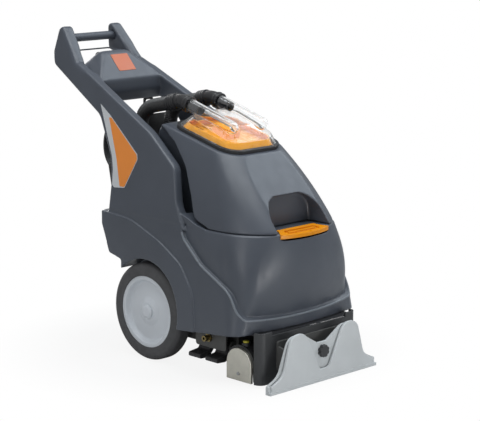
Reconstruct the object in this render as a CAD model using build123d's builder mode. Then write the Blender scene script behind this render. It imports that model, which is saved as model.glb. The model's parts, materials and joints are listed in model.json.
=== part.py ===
from build123d import *
import os
from math import atan2, cos, degrees, radians, sin, tan

# Walk-behind carpet extractor, in millimetres.
# +X is forward (towards the vacuum shoe), +Y is the machine's left, +Z is up.
# The origin lies on the floor, in the middle of the machine's length and width.

os.makedirs("parts", exist_ok=True)

# Wheels and axle
axle_x = 6
wheel_radius = 136
wheel_face = 206
tyre_width = 50
tyre_shoulder = 14
hub_radius = 100
hub_rim = 11
hub_dish = 16
hub_web = 8
nave_radius = 26
nave_face = 6
cap_radius = 20
cap_height = 7
axle_radius = 10
axle_inset = 8
running_gap = 0.05
arch_gap = 12

# Chassis frame under the lower tank
frame_rear_x = -62
frame_front_x = 301
frame_axle_z = 108
frame_low_z = 70
cross_low_z = 36
plate_thickness = 5
side_plate_inset = 4
lug_thickness = 6
lug_height = 26
lug_reach = 12

# Lower tank: plan sections at the foot line and at the deck
foot_z = 100
deck_z = 396
body_rear_x = -182
tank_foot_half = 192
tank_corner_x = 374
tank_corner_half = 232
tank_nose_x = 392
tank_foot_corner_radius = 20
deck_half = 187
deck_corner_x = 350
deck_nose_x = 425
deck_corner_radius = 120
skirt_proud = 10
fender_proud = 5
skirt_wall = 12
underside_z = 165
tank_wall = 6
tail_x = -97
seam_chamfer = 4
lip_top_z = 167
lip_front_z = 140
arch_foot_x = 163
arch_foot_z = 118

# Arms: outer half-width at the peak, lean and thickness
peak_z = 884
peak_half = 111
arm_lean = 0.178
arm_thickness = 30
arm_edge = 7
arm_foot_x = 150
cheek_thickness = 40

# Handle
bar_x = -458
bar_z = 850
bar_radius = 12.3
bar_half = 89
cheek_edge = 7
bail_x = -470
bail_z = 811
bail_half = 75
bail_reach = 93
bail_wire_radius = 2.2
bail_bend_radius = 6
bail_pivot_x = -422
bail_pivot_z = 806

# Console
console_top_z = 817
console_top_x = -352
console_knee_x = -281
console_knee_z = 742
console_fold_z = 707
console_bottom_z = 673
console_tuck = 16
console_top_half = 48
console_flare_z = 755
console_top_depth = 20
console_back_run = 12
console_back_drop = 13
panel_run = 40
panel_rise = 52
panel_width = 96
panel_length = 50
panel_corner_radius = 6
panel_thickness = 3
switch_length = 24
switch_width = 16
switch_pitch = 30
switch_side_gap = 0.4
switch_end_gap = 1
switch_pocket = 11
switch_throw = 16
rocker_height = 5
rocker_depth = 6
gland_y = 52
gland_radius = 9
gland_nut = 8
gland_length = 24
gland_bore_radius = 4.5
hook_y = 84
hook_width = 36
hook_drop = 30
hook_setback = 6
hook_thickness = 4
hook_rail = 7
hook_corner_radius = 8

# Rear housing, vacuum motor and rear cover
housing_front_x = -60
housing_top_z = 520
vacuum_x = -110
vacuum_radius = 44
vacuum_height = 96
vacuum_can_share = 0.55
vacuum_cap_share = 0.72
vacuum_gap = 2
cover_low_x = -168
cover_low_z = 400
cover_lean = 23
cover_knee_z = 512
cover_bulge_x = -250
cover_bulge_z = 588
cover_top_x = -230
cover_top_z = 640
cover_wall = 6
socket_wall = 4
socket_gap = 0.4

# Recovery tank
tank_gap = 0.3
recovery_half = 185
recovery_front_x = 421
recovery_corner_radius = 140
recovery_wall = 7
neck_half = 106
neck_rear_x = -46
rim_tilt = 14
rim_x = 117
rim_z = 614
shoulder_half = 118
shoulder_length = 318
shoulder_front = 136
shoulder_corner_radius = 70
barrel_bulge = 7
front_cut = 0.6
recess_half = 98
recess_top_z = 482
recess_back_x = 330
recess_corner_radius = 62
rear_corner_radius = 20
rear_round = 38
shoulder_edge = 9

# Dome, gasket and filter on the tilted rim
gasket_length = 250
gasket_width = 214
gasket_corner_radius = 56
gasket_height = 9
gasket_ring = 12
tray_gap = 4
tray_ledge = 8
tray_height = 20
tray_taper = 24
tray_wall = 4
tray_slot_count = 5
tray_slot_pitch = 22
tray_slot_width = 9
tray_slot_length = 34
tray_slot_shift = 68
tower_length = 58
tower_width = 54
tower_height = 26
float_shift = -8
float_radius = 17
float_gap = 3
cage_wall = 3
cage_depth = 62
cage_slot_count = 6
cage_slot_width = 9
dome_wall = 3
dome_length = 234
dome_width = 198
dome_corner_radius = 48
dome_waist_length = 187
dome_waist_width = 184
dome_waist_height = 28
dome_waist_tilt = 21
dome_waist_shift = 12
dome_top_length = 116
dome_top_width = 124
dome_top_radius = 30
dome_top_sink = 5
dome_top_x = 118
dome_edge = 8
tube_y = 56
tube_radius = 18
tube_tilt = 16
tube_end_x = 30
tube_end_z = 697
tube_length = 168
cuff_lap = 14
elbow_spigot_radius = 14.9
elbow_spigot_bore = 12
elbow_spigot_reach = 44
elbow_spigot_root = 6

# Vacuum hoses
hose_radius = 20
hose_bore_radius = 16
rib_depth = 2.6
rib_pitch = 10
cuff_radius = 22.5
cuff_length = 15
elbow_bend_radius = 80
elbow_fall = 12
hose_bend_radius = 110
hose_drop_x = -178
hose_tail = 64
socket_top_z = 545
socket_depth = 34

# Fill lid
lid_half = 92
lid_rear_half = 72
lid_rear_x = 366
lid_tip_x = 409.5
lid_nose_x = 426
lid_low_z = 383
lid_front_z = 389
lid_barrel_radius = 8
lid_gap = 0.5
lid_side_gap = 1.5
lid_pin_radius = 2.5
lid_pin_seat = 8
lid_grip_length = 124
lid_grip_width = 26
lid_grip_depth = 7
lid_bar_length = 104
lid_bar_width = 8
mouth_half = 58
mouth_depth = 120
cradle_front_x = 222
cradle_rise = 30
cradle_inset = 40
seam_gap = 0.5

# Brush deck
brush_x = 353.5
brush_z = 45
brush_radius = 43
brush_core_radius = 25
housing_half = 183
brush_half = housing_half - 33
tuft_rows = 8
tufts_per_row = 40
tuft_twist = 0.5
tuft_size = 3.2
chamber_radius = 47
journal_radius = 8
spigot_length = 22
tunnel_half = 52
end_wall = 6
end_plate_thickness = 8
end_plate_low_z = 10
end_plate_half = 45.5
button_x = 360
button_y = 15 - housing_half
button_radius = 8
button_collar = 4
button_collar_height = 6
button_seat = 8
button_floor = 2
button_travel = 4
button_height = 13
pulley_y = housing_half - 19
pulley_width = 14
brush_pulley_radius = 24
motor_pulley_radius = 16
belt_thickness = 3
belt_room = 3
motor_x = 228
motor_y = 58
motor_z = 112
motor_radius = 40
motor_length = 140
motor_shaft_radius = 6
apron_x = 430
apron_rear_x = 405.8
apron_half = housing_half + 3
apron_wall = 6
apron_corner_radius = 20
apron_low_z = 9
apron_top_z = 138
apron_ear_y = 142
apron_ear_rise = 10
spray_x = 414
spray_z = 104
spray_radius = 5
spray_half = housing_half - 23
spray_pitch = 120

# Vacuum shoe
shoe_x = 487
shoe_half = housing_half + 23
shoe_lip = 22
shoe_strip = 8
shoe_lip_proud = 1.5
shoe_flare_run = 41
shoe_flare_rise = 18
shoe_lip_radius = 6
shoe_flare_radius = 45
hump_radius = 33
notch_radius = 14
shoe_plate = 8
shoe_slot = 3
rear_plate = 7
shoe_hump_z = 144
shoe_hump_y = 101
hump_half = 26
shoe_notch_z = 34
notch_half = 18
rear_notch_z = 104
knob_radius = 17
knob_z = 80
knob_flutes = 8
knob_flute_radius = 4
knob_stud_radius = 4
bracket_half = shoe_hump_y + hump_half
bracket_low_z = 40
bracket_top_z = 120
bracket_plate = 6

# Pedals and service panel
pedal_shaft_y = -150
pedal_shaft_z = 82
pedal_shaft_radius = 6
pedal_y = -206
pedal_pad_z = 50
pedal_length = 44
pedal_rear_x = 178
pedal_front_x = 243
pedal_side_gap = 1
service_y = 178
service_rear_x = 182
service_front_x = 298
service_low_z = 76
service_top_z = 136
coupler_x = 235
coupler_z = 104
coupler_radius = 8
coupler_length = 34

# Solution pump and screws
pump_x = 110
pump_y = -40
pump_width = 62
pump_height = 56
pump_head_length = 66
pump_motor_radius = 22
pump_motor_length = 86
pump_port_radius = 6
pump_port_bore = 3.5
pump_port_length = 50
screw_radius = 5
screw_height = 3


def half_width(z):
    """Half-width of the arms' outer faces at a height."""
    return peak_half + arm_lean * (peak_z - z)


def tilted_plane(x, z, tilt):
    """Plane across the middle of the machine that falls towards the front by an angle."""
    return Plane(
        origin=(x, 0, z), x_dir=(cos(radians(tilt)), 0, -sin(radians(tilt))),
        z_dir=(sin(radians(tilt)), 0, cos(radians(tilt))),
    )


def write(builder, name):
    """Label a finished piece and write its file."""
    builder.part.label = name
    export_step(builder.part, f"parts/{name}.step")


def plan_sketch(z, rear_half, corner_x, corner_half, nose_x, corner_radius):
    """Plan of the lower body at a height: straight flanks, arched front, rounded corners."""
    with BuildSketch(Plane.XY.offset(z)) as plan:
        with BuildLine():
            Polyline(
                (corner_x, -corner_half),
                (body_rear_x, -rear_half),
                (body_rear_x, rear_half),
                (corner_x, corner_half),
            )
            ThreePointArc((corner_x, corner_half), (nose_x, 0), (corner_x, -corner_half))
        make_face()
        fillet(plan.vertices().group_by(Axis.X)[-1], corner_radius)
    return plan.sketch


def deck_plan(z, grow):
    """Plan of the lower body at the deck, grown outwards by a set amount."""
    return plan_sketch(
        z, deck_half + grow, deck_corner_x + grow, deck_half + grow, deck_nose_x + grow, deck_corner_radius
    )


def body_block(grow, chamfered=False):
    """Lower body between the foot line and the deck, grown outwards by a set amount."""
    foot = plan_sketch(
        foot_z, tank_foot_half + grow, tank_corner_x + grow, tank_corner_half + grow,
        tank_nose_x + grow, tank_foot_corner_radius + grow / 2,
    )
    if chamfered:
        sections = [foot, deck_plan(deck_z - seam_chamfer, grow), deck_plan(deck_z, grow - seam_chamfer)]
    else:
        sections = [foot, deck_plan(deck_z, grow)]
    with BuildPart() as block:
        loft(sections=sections, ruled=True)
    return block.part


def side_prism(points, radii, half=300):
    """Prism across the machine with a rounded side-view outline."""
    with BuildPart() as prism:
        with BuildSketch(Plane.XZ):
            with BuildLine():
                FilletPolyline(*points, radius=radii, close=True)
            make_face()
        extrude(amount=half, both=True)
    return prism.part


# Lower tank: tank block, proud skirt below the swage line and proud fenders round the wheels
swage_region = side_prism(
    [
        (480, foot_z), (480, lip_top_z), (389, lip_top_z), (345, 252), (225, 305),
        (150, 365), (137, deck_z), (body_rear_x - 20, deck_z), (body_rear_x - 20, foot_z),
    ],
    [0, 0, 30, 70, 90, 60, 0, 0, 0],
)
fender_region = side_prism(
    [
        (232, foot_z), (205, 228), (150, 294), (60, 342), (-60, 385),
        (body_rear_x - 20, deck_z), (body_rear_x - 20, foot_z),
    ],
    [0, 90, 90, 150, 200, 0, 0],
)
below_body = side_prism(
    [
        (520, 0), (520, lip_front_z), (tank_corner_x, lip_front_z), (arch_foot_x, arch_foot_z),
        (tail_x, arch_foot_z), (tail_x, 268), (-150, 279), (body_rear_x, 357), (body_rear_x - 60, 420),
        (body_rear_x - 60, 0),
    ],
    [0, 0, 30, 0, 0, 8, 12, 0, 0, 0],
)

with BuildPart() as skirt:
    add(body_block(skirt_proud, chamfered=True))
    add(swage_region, mode=Mode.INTERSECT)

with BuildPart() as pocket:
    add(body_block(skirt_proud - skirt_wall))
    split(bisect_by=Plane.XY.offset(underside_z), keep=Keep.BOTTOM)

with BuildPart() as front_water:
    add(body_block(-tank_wall))
    split(bisect_by=Plane.YZ.offset(axle_x + wheel_radius + arch_gap + tank_wall), keep=Keep.TOP)
    split(bisect_by=Plane.XY.offset(underside_z + tank_wall), keep=Keep.TOP)
    split(bisect_by=Plane.XY.offset(deck_z - tank_wall), keep=Keep.BOTTOM)

with BuildPart() as fender:
    add(body_block(skirt_proud + fender_proud, chamfered=True))
    add(fender_region, mode=Mode.INTERSECT)

well_inner = wheel_face - tyre_width - arch_gap
cavity_half = well_inner - tank_wall
cavity_front_x = tank_corner_x + 2
mouth_rear_x = lid_rear_x + 6
mouth_front_x = tank_nose_x + 6
lid_axis_x = lid_rear_x + lid_barrel_radius
lid_axis_z = lid_low_z + lid_barrel_radius
lid_grip_x = (lid_axis_x + lid_nose_x) / 2 - 2
lid_shoulder_x = lid_axis_x + lid_barrel_radius + 2 * lid_gap


def lid_plan(gap, side_gap):
    """Plan of the fill lid: straight beside its barrel, wider towards the arched front, grown by gaps."""
    tip_x = lid_tip_x + gap
    with BuildSketch(Plane.XY.offset(lid_low_z - gap)) as plan:
        with BuildLine():
            Polyline(
                (tip_x, -lid_half - side_gap),
                (lid_shoulder_x, -lid_rear_half - side_gap),
                (lid_rear_x - gap, -lid_rear_half - side_gap),
                (lid_rear_x - gap, lid_rear_half + side_gap),
                (lid_shoulder_x, lid_rear_half + side_gap),
                (tip_x, lid_half + side_gap),
            )
            ThreePointArc(
                (tip_x, lid_half + side_gap), (lid_nose_x + gap, 0), (tip_x, -lid_half - side_gap)
            )
        make_face()
    return plan.sketch


with BuildPart() as lower_tank:
    add(body_block(0, chamfered=True))
    add(skirt.part)
    add(fender.part)
    # Cradle behind the recovery tank's lower corner, level with the tank face
    with BuildSketch(Plane.XZ.offset(neck_half + cradle_inset)):
        with BuildLine():
            FilletPolyline(
                (arm_foot_x + seam_gap, deck_z - 10), (arm_foot_x + seam_gap, deck_z),
                (arm_foot_x - 0.8 * cradle_rise + seam_gap, deck_z + cradle_rise),
                (arm_foot_x + 8, deck_z + cradle_rise - 10), (184, deck_z + 8),
                (cradle_front_x, deck_z), (cradle_front_x, deck_z - 10),
                radius=[0, 0, 0, 30, 60, 0, 0], close=True,
            )
        make_face()
    extrude(amount=deck_half - neck_half - cradle_inset)
    mirror(about=Plane.XZ)
    add(below_body, mode=Mode.SUBTRACT)
    # Underside pocket inside the skirt, then the two wheel wells
    add(pocket.part, mode=Mode.SUBTRACT)
    for side in (-1, 1):
        with BuildSketch(Plane.XZ.offset(-side * well_inner)):
            with Locations((axle_x, wheel_radius)):
                Circle(wheel_radius + arch_gap)
        extrude(amount=-side * 120, mode=Mode.SUBTRACT)
    # Water space, fill mouth and the lid's seat
    with BuildSketch(Plane.XZ):
        with BuildLine():
            FilletPolyline(
                (tail_x + tank_wall, underside_z + tank_wall), (cavity_front_x, underside_z + tank_wall),
                (cavity_front_x, deck_z - tank_wall), (tail_x + tank_wall, deck_z - tank_wall),
                radius=20, close=True,
            )
        make_face()
    extrude(amount=cavity_half, both=True, mode=Mode.SUBTRACT)
    add(front_water.part, mode=Mode.SUBTRACT)
    with BuildSketch(Plane.XY.offset(deck_z)):
        with Locations(((mouth_rear_x + mouth_front_x) / 2, 0)):
            RectangleRounded(mouth_front_x - mouth_rear_x, 2 * mouth_half, 10)
    extrude(amount=-mouth_depth, mode=Mode.SUBTRACT)
    extrude(lid_plan(lid_gap, lid_side_gap), amount=60, mode=Mode.SUBTRACT)
    with BuildSketch(Plane.XZ):
        with Locations((lid_axis_x, lid_axis_z)):
            Circle(lid_pin_radius + running_gap)
    extrude(amount=lid_rear_half + lid_pin_seat, both=True, mode=Mode.SUBTRACT)
write(lower_tank, "lower_tank")

# Fill lid: a wedge with a round hinge barrel along its straight rear edge
with BuildPart() as fill_lid:
    with BuildSketch(Plane.XZ):
        with BuildLine():
            Polyline(
                (lid_axis_x, lid_low_z), (lid_nose_x + 20, lid_low_z), (lid_nose_x + 20, lid_front_z),
                (lid_axis_x, lid_axis_z + lid_barrel_radius), (lid_axis_x, lid_low_z),
            )
        make_face()
        with Locations((lid_axis_x, lid_axis_z)):
            Circle(lid_barrel_radius)
            Circle(lid_pin_radius + running_gap, mode=Mode.SUBTRACT)
    extrude(amount=lid_half, both=True)
    extrude(lid_plan(0, 0), amount=60, mode=Mode.INTERSECT)
    # Sunk grip with a raised bar along its middle
    with BuildSketch(Plane.XY.offset(lid_axis_z + lid_barrel_radius)):
        with Locations((lid_grip_x, 0)):
            SlotOverall(lid_grip_length, lid_grip_width, rotation=90)
            SlotOverall(lid_bar_length, lid_bar_width, rotation=90, mode=Mode.SUBTRACT)
    extrude(amount=-lid_grip_depth, mode=Mode.SUBTRACT)
write(fill_lid, "fill_lid")

with BuildPart() as lid_pin:
    with BuildSketch(Plane.XZ):
        with Locations((lid_axis_x, lid_axis_z)):
            Circle(lid_pin_radius)
    extrude(amount=lid_rear_half + lid_pin_seat - 1, both=True)
write(lid_pin, "lid_pin")


# Recovery tank: a loft from the deck to a tilted shoulder, set in between the arms at the rear
rim_plane = tilted_plane(rim_x, rim_z, rim_tilt)
recovery_low_z = deck_z + tank_gap
tray_length = gasket_length - 2 * gasket_ring - 2 * tray_gap
tray_width = gasket_width - 2 * gasket_ring - 2 * tray_gap
tray_radius = gasket_corner_radius - gasket_ring - tray_gap
shoulder_front_x = rim_x + shoulder_front * cos(radians(rim_tilt))
shoulder_front_z = rim_z - shoulder_front * sin(radians(rim_tilt))
shoulder_rear = rim_plane.from_local_coords((shoulder_front - shoulder_length, 0, 0))
waist_rear_x = (neck_rear_x + shoulder_rear.X) / 2
waist_rear_z = (recovery_low_z + shoulder_rear.Z) / 2
waist_run = (recovery_front_x + shoulder_front_x) / 2 - waist_rear_x
waist_fall = waist_rear_z - (recovery_low_z + shoulder_front_z) / 2
waist_tilt = degrees(atan2(waist_fall, waist_run))
waist_plane = tilted_plane(waist_rear_x, waist_rear_z, waist_tilt)
waist_front = waist_run / cos(radians(waist_tilt)) + barrel_bulge
waist_half = (shoulder_half + recovery_half) / 2 + barrel_bulge
waist_corner_radius = (shoulder_corner_radius + recovery_corner_radius) / 2


def recovery_section(plane, rear, front, half, corner_radius):
    """Plan of the recovery tank on a plane: square at the rear, well rounded in front."""
    with BuildSketch(plane) as section:
        with Locations(((rear + front) / 2, 0)):
            Rectangle(front - rear, 2 * half)
        fillet(section.vertices().group_by(Axis((0, 0, 0), plane.x_dir))[-1], corner_radius)
        fillet(section.vertices().group_by(Axis((0, 0, 0), plane.x_dir))[0], rear_corner_radius)
    return section.sketch


def recovery_block(inset):
    """Recovery tank without its cuts, drawn in from the outside by a wall."""
    low = recovery_section(
        Plane.XY.offset(recovery_low_z + inset), neck_rear_x + inset,
        recovery_front_x - inset, recovery_half - inset, recovery_corner_radius - inset,
    )
    middle = recovery_section(
        waist_plane, inset, waist_front - inset, waist_half - inset, waist_corner_radius - inset
    )
    high = recovery_section(
        rim_plane.offset(-inset), shoulder_front - shoulder_length + inset,
        shoulder_front - inset, shoulder_half - inset, shoulder_corner_radius - inset,
    )
    with BuildPart() as block:
        loft(sections=[low, middle, high])
        if inset == 0:
            chamfer(block.faces().sort_by(Axis.Z)[0].edges(), seam_chamfer)
    return block.part


def flank_cut(inner_half, forward):
    """The two gaps beside the neck, behind a line that follows the arms' front edges."""
    with BuildPart() as cut:
        with BuildSketch(Plane.XZ.offset(inner_half)):
            with BuildLine():
                FilletPolyline(
                    (240 + forward, 370), (240 + forward, deck_z), (172 + forward, 418),
                    (150 + forward, 470), (104 + forward, 546), (40 + forward, 606),
                    (-70 + forward, 662), (-140, 700), (-140, 370),
                    radius=[0, 20, 40, 60, 80, 120, 0, 0, 0], close=True,
                )
            make_face()
        extrude(amount=200)
        mirror(about=Plane.XZ)
    return cut.part


def rear_corner():
    """Everything outside the rounded edge between the rear wall and the rim."""
    with BuildPart() as corner:
        with BuildSketch(Plane.XZ):
            with BuildLine():
                FilletPolyline(
                    (waist_rear_x - tank_gap, waist_rear_z), (shoulder_rear.X - tank_gap, shoulder_rear.Z),
                    (rim_x, rim_z + 2 * tank_gap), (rim_x, rim_z + shoulder_length),
                    (-shoulder_length, rim_z + shoulder_length), (-shoulder_length, waist_rear_z),
                    radius=[0, rear_round, 0, 0, 0, 0], close=True,
                )
            make_face()
        extrude(amount=recovery_half, both=True)
    return corner.part


def front_slope(inset):
    """Everything in front of the flat sloping front of the recovery tank."""
    run = recovery_front_x - shoulder_front_x
    rise = shoulder_front_z - recovery_low_z
    low_x = recovery_front_x - front_cut - inset
    high_x = shoulder_front_x - front_cut - inset
    with BuildPart() as slope:
        with BuildSketch(Plane.XZ):
            with BuildLine():
                Polyline(
                    (low_x + run, recovery_low_z - rise), (high_x - run, shoulder_front_z + rise),
                    (recovery_front_x + 2 * run, shoulder_front_z + rise),
                    (recovery_front_x + 2 * run, recovery_low_z - rise),
                    (low_x + run, recovery_low_z - rise),
                )
            make_face()
        extrude(amount=recovery_half + 20, both=True)
    return slope.part


def hand_recess(grow):
    """Arched recess over the fill lid, grown by a wall."""
    with BuildPart() as recess:
        with BuildSketch(Plane.YZ.offset(recess_back_x - grow)):
            with BuildLine():
                FilletPolyline(
                    (-recess_half - grow, deck_z - 40), (recess_half + grow, deck_z - 40),
                    (recess_half + grow, recess_top_z + grow),
                    (-recess_half - grow, recess_top_z + grow),
                    radius=[0, 0, recess_corner_radius, recess_corner_radius], close=True,
                )
            make_face()
        extrude(amount=recovery_front_x - recess_back_x + grow + 10)
    return recess.part


with BuildPart() as recovery_cavity:
    add(recovery_block(recovery_wall))
    add(flank_cut(neck_half - recovery_wall, recovery_wall * 2), mode=Mode.SUBTRACT)
    add(front_slope(recovery_wall * 1.4), mode=Mode.SUBTRACT)
    add(hand_recess(recovery_wall), mode=Mode.SUBTRACT)
    wall_shift = Location((recovery_wall, 0, -recovery_wall))
    add(rear_corner().moved(wall_shift), mode=Mode.SUBTRACT)

with BuildPart() as recovery_tank:
    add(recovery_block(0))
    add(front_slope(0), mode=Mode.SUBTRACT)
    shoulder = recovery_tank.faces().sort_by(Axis(rim_plane.origin, rim_plane.z_dir))[-1]
    fillet(shoulder.edges(), shoulder_edge)
    add(rear_corner(), mode=Mode.SUBTRACT)
    add(flank_cut(neck_half, 0), mode=Mode.SUBTRACT)
    add(hand_recess(0), mode=Mode.SUBTRACT)
    add(recovery_cavity.part, mode=Mode.SUBTRACT)
    with BuildSketch(rim_plane):
        RectangleRounded(
            tray_length - 2 * tray_ledge, tray_width - 2 * tray_ledge, tray_radius - tray_ledge
        )
    extrude(amount=-recovery_wall - 2, mode=Mode.SUBTRACT)
write(recovery_tank, "recovery_tank")

# Arms: side panels that lean in towards the handle, each topped by a handle cheek
arm_outline = [
    (arm_foot_x, deck_z), (arm_foot_x - 40, deck_z + 50), (88, 542), (-30, 626), (-377, 791),
    (-455, peak_z + 2), (-474, peak_z), (-489, 808), (-474, 775), (-246, 650), (-178, 540),
    (-163, 470), (-163, deck_z),
]
arm_radii = [0, 60, 50, 200, 75, 12, 12, 24, 22, 60, 60, 60, 0]
cheek_seam = [(-520, 806), (-464, 803), (-444, 786), (-396, 766), (-330, 830), (-330, 960), (-520, 960)]


def leaning_slab(thickness):
    """The space between an arm's leaning outer face and a parallel plane inside it."""
    low_z, high_z = deck_z - 60, peak_z + 60
    with BuildPart() as slab:
        with BuildSketch(Plane.YZ):
            with BuildLine():
                Polyline(
                    (-half_width(low_z), low_z), (-half_width(high_z), high_z),
                    (-half_width(high_z) + thickness, high_z), (-half_width(low_z) + thickness, low_z),
                    (-half_width(low_z), low_z),
                )
            make_face()
        extrude(amount=600, both=True)
    return slab.part


def arm_blank():
    """Prism of the arm's side-view outline on the right of the machine."""
    with BuildPart() as blank:
        with BuildSketch(Plane.XZ):
            with BuildLine():
                FilletPolyline(*arm_outline, radius=arm_radii, close=True)
            make_face()
        extrude(amount=300)
    return blank.part


cheek_region = side_prism(cheek_seam, [0, 12, 12, 24, 0, 0, 0])

with BuildPart() as right_arm:
    add(arm_blank())
    add(leaning_slab(arm_thickness), mode=Mode.INTERSECT)
    fillet(right_arm.faces().filter_by(GeomType.PLANE).sort_by(SortBy.AREA)[-2:].edges(), arm_edge)
    add(cheek_region, mode=Mode.SUBTRACT)
write(right_arm, "right_arm")

with BuildPart() as left_arm:
    mirror(right_arm.part, about=Plane.XZ)
write(left_arm, "left_arm")

with BuildPart() as right_handle_cheek:
    add(arm_blank())
    add(leaning_slab(cheek_thickness), mode=Mode.INTERSECT)
    add(cheek_region, mode=Mode.INTERSECT)
    cheek_sides = right_handle_cheek.faces().filter_by(GeomType.PLANE).sort_by(SortBy.AREA)[-2:]
    fillet(cheek_sides.edges(), cheek_edge)
    with BuildSketch(Plane.XZ):
        with Locations((bar_x, bar_z)):
            Circle(bar_radius + running_gap)
    extrude(amount=bar_half + running_gap, mode=Mode.SUBTRACT)
    with BuildSketch(Plane.XZ):
        with Locations((bail_pivot_x, bail_pivot_z)):
            Circle(bail_wire_radius + running_gap)
    extrude(amount=bail_reach + running_gap, mode=Mode.SUBTRACT)
write(right_handle_cheek, "right_handle_cheek")

with BuildPart() as left_handle_cheek:
    mirror(right_handle_cheek.part, about=Plane.XZ)
write(left_handle_cheek, "left_handle_cheek")

# Grip bar in its sockets, and the wire bail below it that is squeezed to run the brush
with BuildPart() as handle_bar:
    with BuildSketch(Plane.XZ):
        with Locations((bar_x, bar_z)):
            Circle(bar_radius)
    extrude(amount=bar_half, both=True)
write(handle_bar, "handle_bar")

with BuildPart() as bail_wire:
    with BuildLine() as bail_path:
        FilletPolyline(
            (bail_pivot_x, -bail_reach, bail_pivot_z), (bail_pivot_x, -bail_half, bail_pivot_z),
            (bail_x, -bail_half, bail_z), (bail_x, bail_half, bail_z),
            (bail_pivot_x, bail_half, bail_pivot_z), (bail_pivot_x, bail_reach, bail_pivot_z),
            radius=bail_bend_radius,
        )
    with BuildSketch(Plane(origin=bail_path.line @ 0, z_dir=bail_path.line % 0)):
        Circle(bail_wire_radius)
    sweep(path=bail_path.line)
write(bail_wire, "bail_wire")


def arm_inner(z):
    """Half-width between the arms' inner faces at a height, less the seam gap."""
    return half_width(z) - arm_thickness - seam_gap


def between_arms(low_z, high_z):
    """Space between the arms' inner faces over a band of heights."""
    with BuildPart() as space:
        with BuildSketch(Plane.YZ):
            with BuildLine():
                Polyline(
                    (-arm_inner(low_z), low_z), (-arm_inner(high_z), high_z),
                    (arm_inner(high_z), high_z), (arm_inner(low_z), low_z), close=True,
                )
            make_face()
        extrude(amount=600, both=True)
    return space.part


# Console: a wedge between the arms, narrowing to its flat top
panel_low_x = console_top_x - console_top_depth - panel_run
panel_low_z = console_top_z - panel_rise
panel_angle = atan2(panel_rise, panel_run)
console_bottom_x = console_knee_x - console_tuck
console_back_x = panel_low_x + console_back_run
console_back_z = panel_low_z - console_back_drop
panel_mid_x = console_top_x - console_top_depth - panel_run / 2
panel_mid_z = console_top_z - panel_rise / 2
panel_plane = Plane(
    origin=(panel_mid_x, 0, panel_mid_z), x_dir=(0, 1, 0),
    z_dir=(-sin(panel_angle), 0, cos(panel_angle)),
)
switch_places = [(-switch_pitch, 0), (0, 0), (switch_pitch, 0)]

with BuildPart() as console_width:
    with BuildSketch(Plane.YZ):
        with BuildLine():
            Polyline(
                (-console_top_half, console_top_z), (console_top_half, console_top_z),
                (arm_inner(console_flare_z), console_flare_z),
                (arm_inner(console_bottom_z), console_bottom_z),
                (-arm_inner(console_bottom_z), console_bottom_z),
                (-arm_inner(console_flare_z), console_flare_z), close=True,
            )
        make_face()
    extrude(amount=600, both=True)

with BuildPart() as console_housing:
    add(side_prism(
        [
            (console_top_x, console_top_z), (console_knee_x, console_knee_z),
            (console_knee_x, console_fold_z), (console_bottom_x, console_bottom_z),
            (console_back_x, console_back_z), (panel_low_x, panel_low_z),
            (console_top_x - console_top_depth, console_top_z),
        ],
        [8, 8, 24, 5, 0, 0, 6],
    ))
    add(console_width.part, mode=Mode.INTERSECT)
    with BuildSketch(panel_plane):
        with Locations(*switch_places):
            Rectangle(switch_width + 2 * switch_side_gap, switch_length + 2 * switch_end_gap)
    extrude(amount=-switch_pocket, mode=Mode.SUBTRACT)
write(console_housing, "console_housing")

with BuildPart() as console_panel:
    with BuildSketch(panel_plane):
        RectangleRounded(panel_width, panel_length, panel_corner_radius)
        with Locations(*switch_places):
            Rectangle(
                switch_width + 2 * switch_side_gap, switch_length + 2 * switch_end_gap,
                mode=Mode.SUBTRACT,
            )
    extrude(amount=panel_thickness)
write(console_panel, "console_panel")

# Rockers, each shown with its rear end up
switch_pivot = panel_plane.origin + panel_plane.z_dir * (panel_thickness / 2)
rocker_angle = panel_angle + radians(switch_throw / 2)
for switch_name, switch_y in (
    ("brush_switch", -switch_pitch), ("vacuum_switch", 0), ("pump_switch", switch_pitch),
):
    rocker_plane = Plane(
        origin=(switch_pivot.X, switch_y, switch_pivot.Z),
        x_dir=(cos(rocker_angle), 0, sin(rocker_angle)), z_dir=(0, -1, 0),
    )
    with BuildPart() as rocker:
        with BuildSketch(rocker_plane):
            with BuildLine():
                Polyline(
                    (-switch_length / 2, rocker_height), (0, rocker_height - 2),
                    (switch_length / 2, rocker_height), (switch_length / 2 - 1, -rocker_depth),
                    (1 - switch_length / 2, -rocker_depth), close=True,
                )
            make_face()
        extrude(amount=switch_width / 2, both=True)
    write(rocker, switch_name)

# Gland on the console's underside, where the mains lead would leave
underside_angle = atan2(console_back_z - console_bottom_z, console_bottom_x - console_back_x)
gland_plane = Plane(
    origin=(
        (console_bottom_x + console_back_x) / 2, gland_y, (console_bottom_z + console_back_z) / 2,
    ),
    x_dir=(0, 1, 0), z_dir=(-sin(underside_angle), 0, -cos(underside_angle)),
)
with BuildPart() as cord_gland:
    with BuildSketch(gland_plane):
        RegularPolygon(gland_radius + 4, 6)
    extrude(amount=gland_nut)
    with BuildSketch(gland_plane.offset(gland_nut)):
        Circle(gland_radius)
    extrude(amount=gland_length - gland_nut, taper=8)
    with BuildSketch(gland_plane.offset(gland_length)):
        Circle(gland_bore_radius)
    extrude(amount=-gland_length, mode=Mode.SUBTRACT)
write(cord_gland, "cord_gland")

hook_top_z = console_bottom_z + hook_setback * tan(underside_angle) - tank_gap
with BuildPart() as cord_hook:
    with BuildSketch(Plane.YZ.offset(console_bottom_x - hook_setback)):
        with Locations((hook_y, hook_top_z - hook_drop / 2)):
            RectangleRounded(hook_width, hook_drop, hook_corner_radius)
            RectangleRounded(
                hook_width - 2 * hook_rail, hook_drop - 2 * hook_rail, hook_corner_radius - hook_rail / 2,
                mode=Mode.SUBTRACT,
            )
    extrude(amount=-hook_thickness)
write(cord_hook, "cord_hook")

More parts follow.
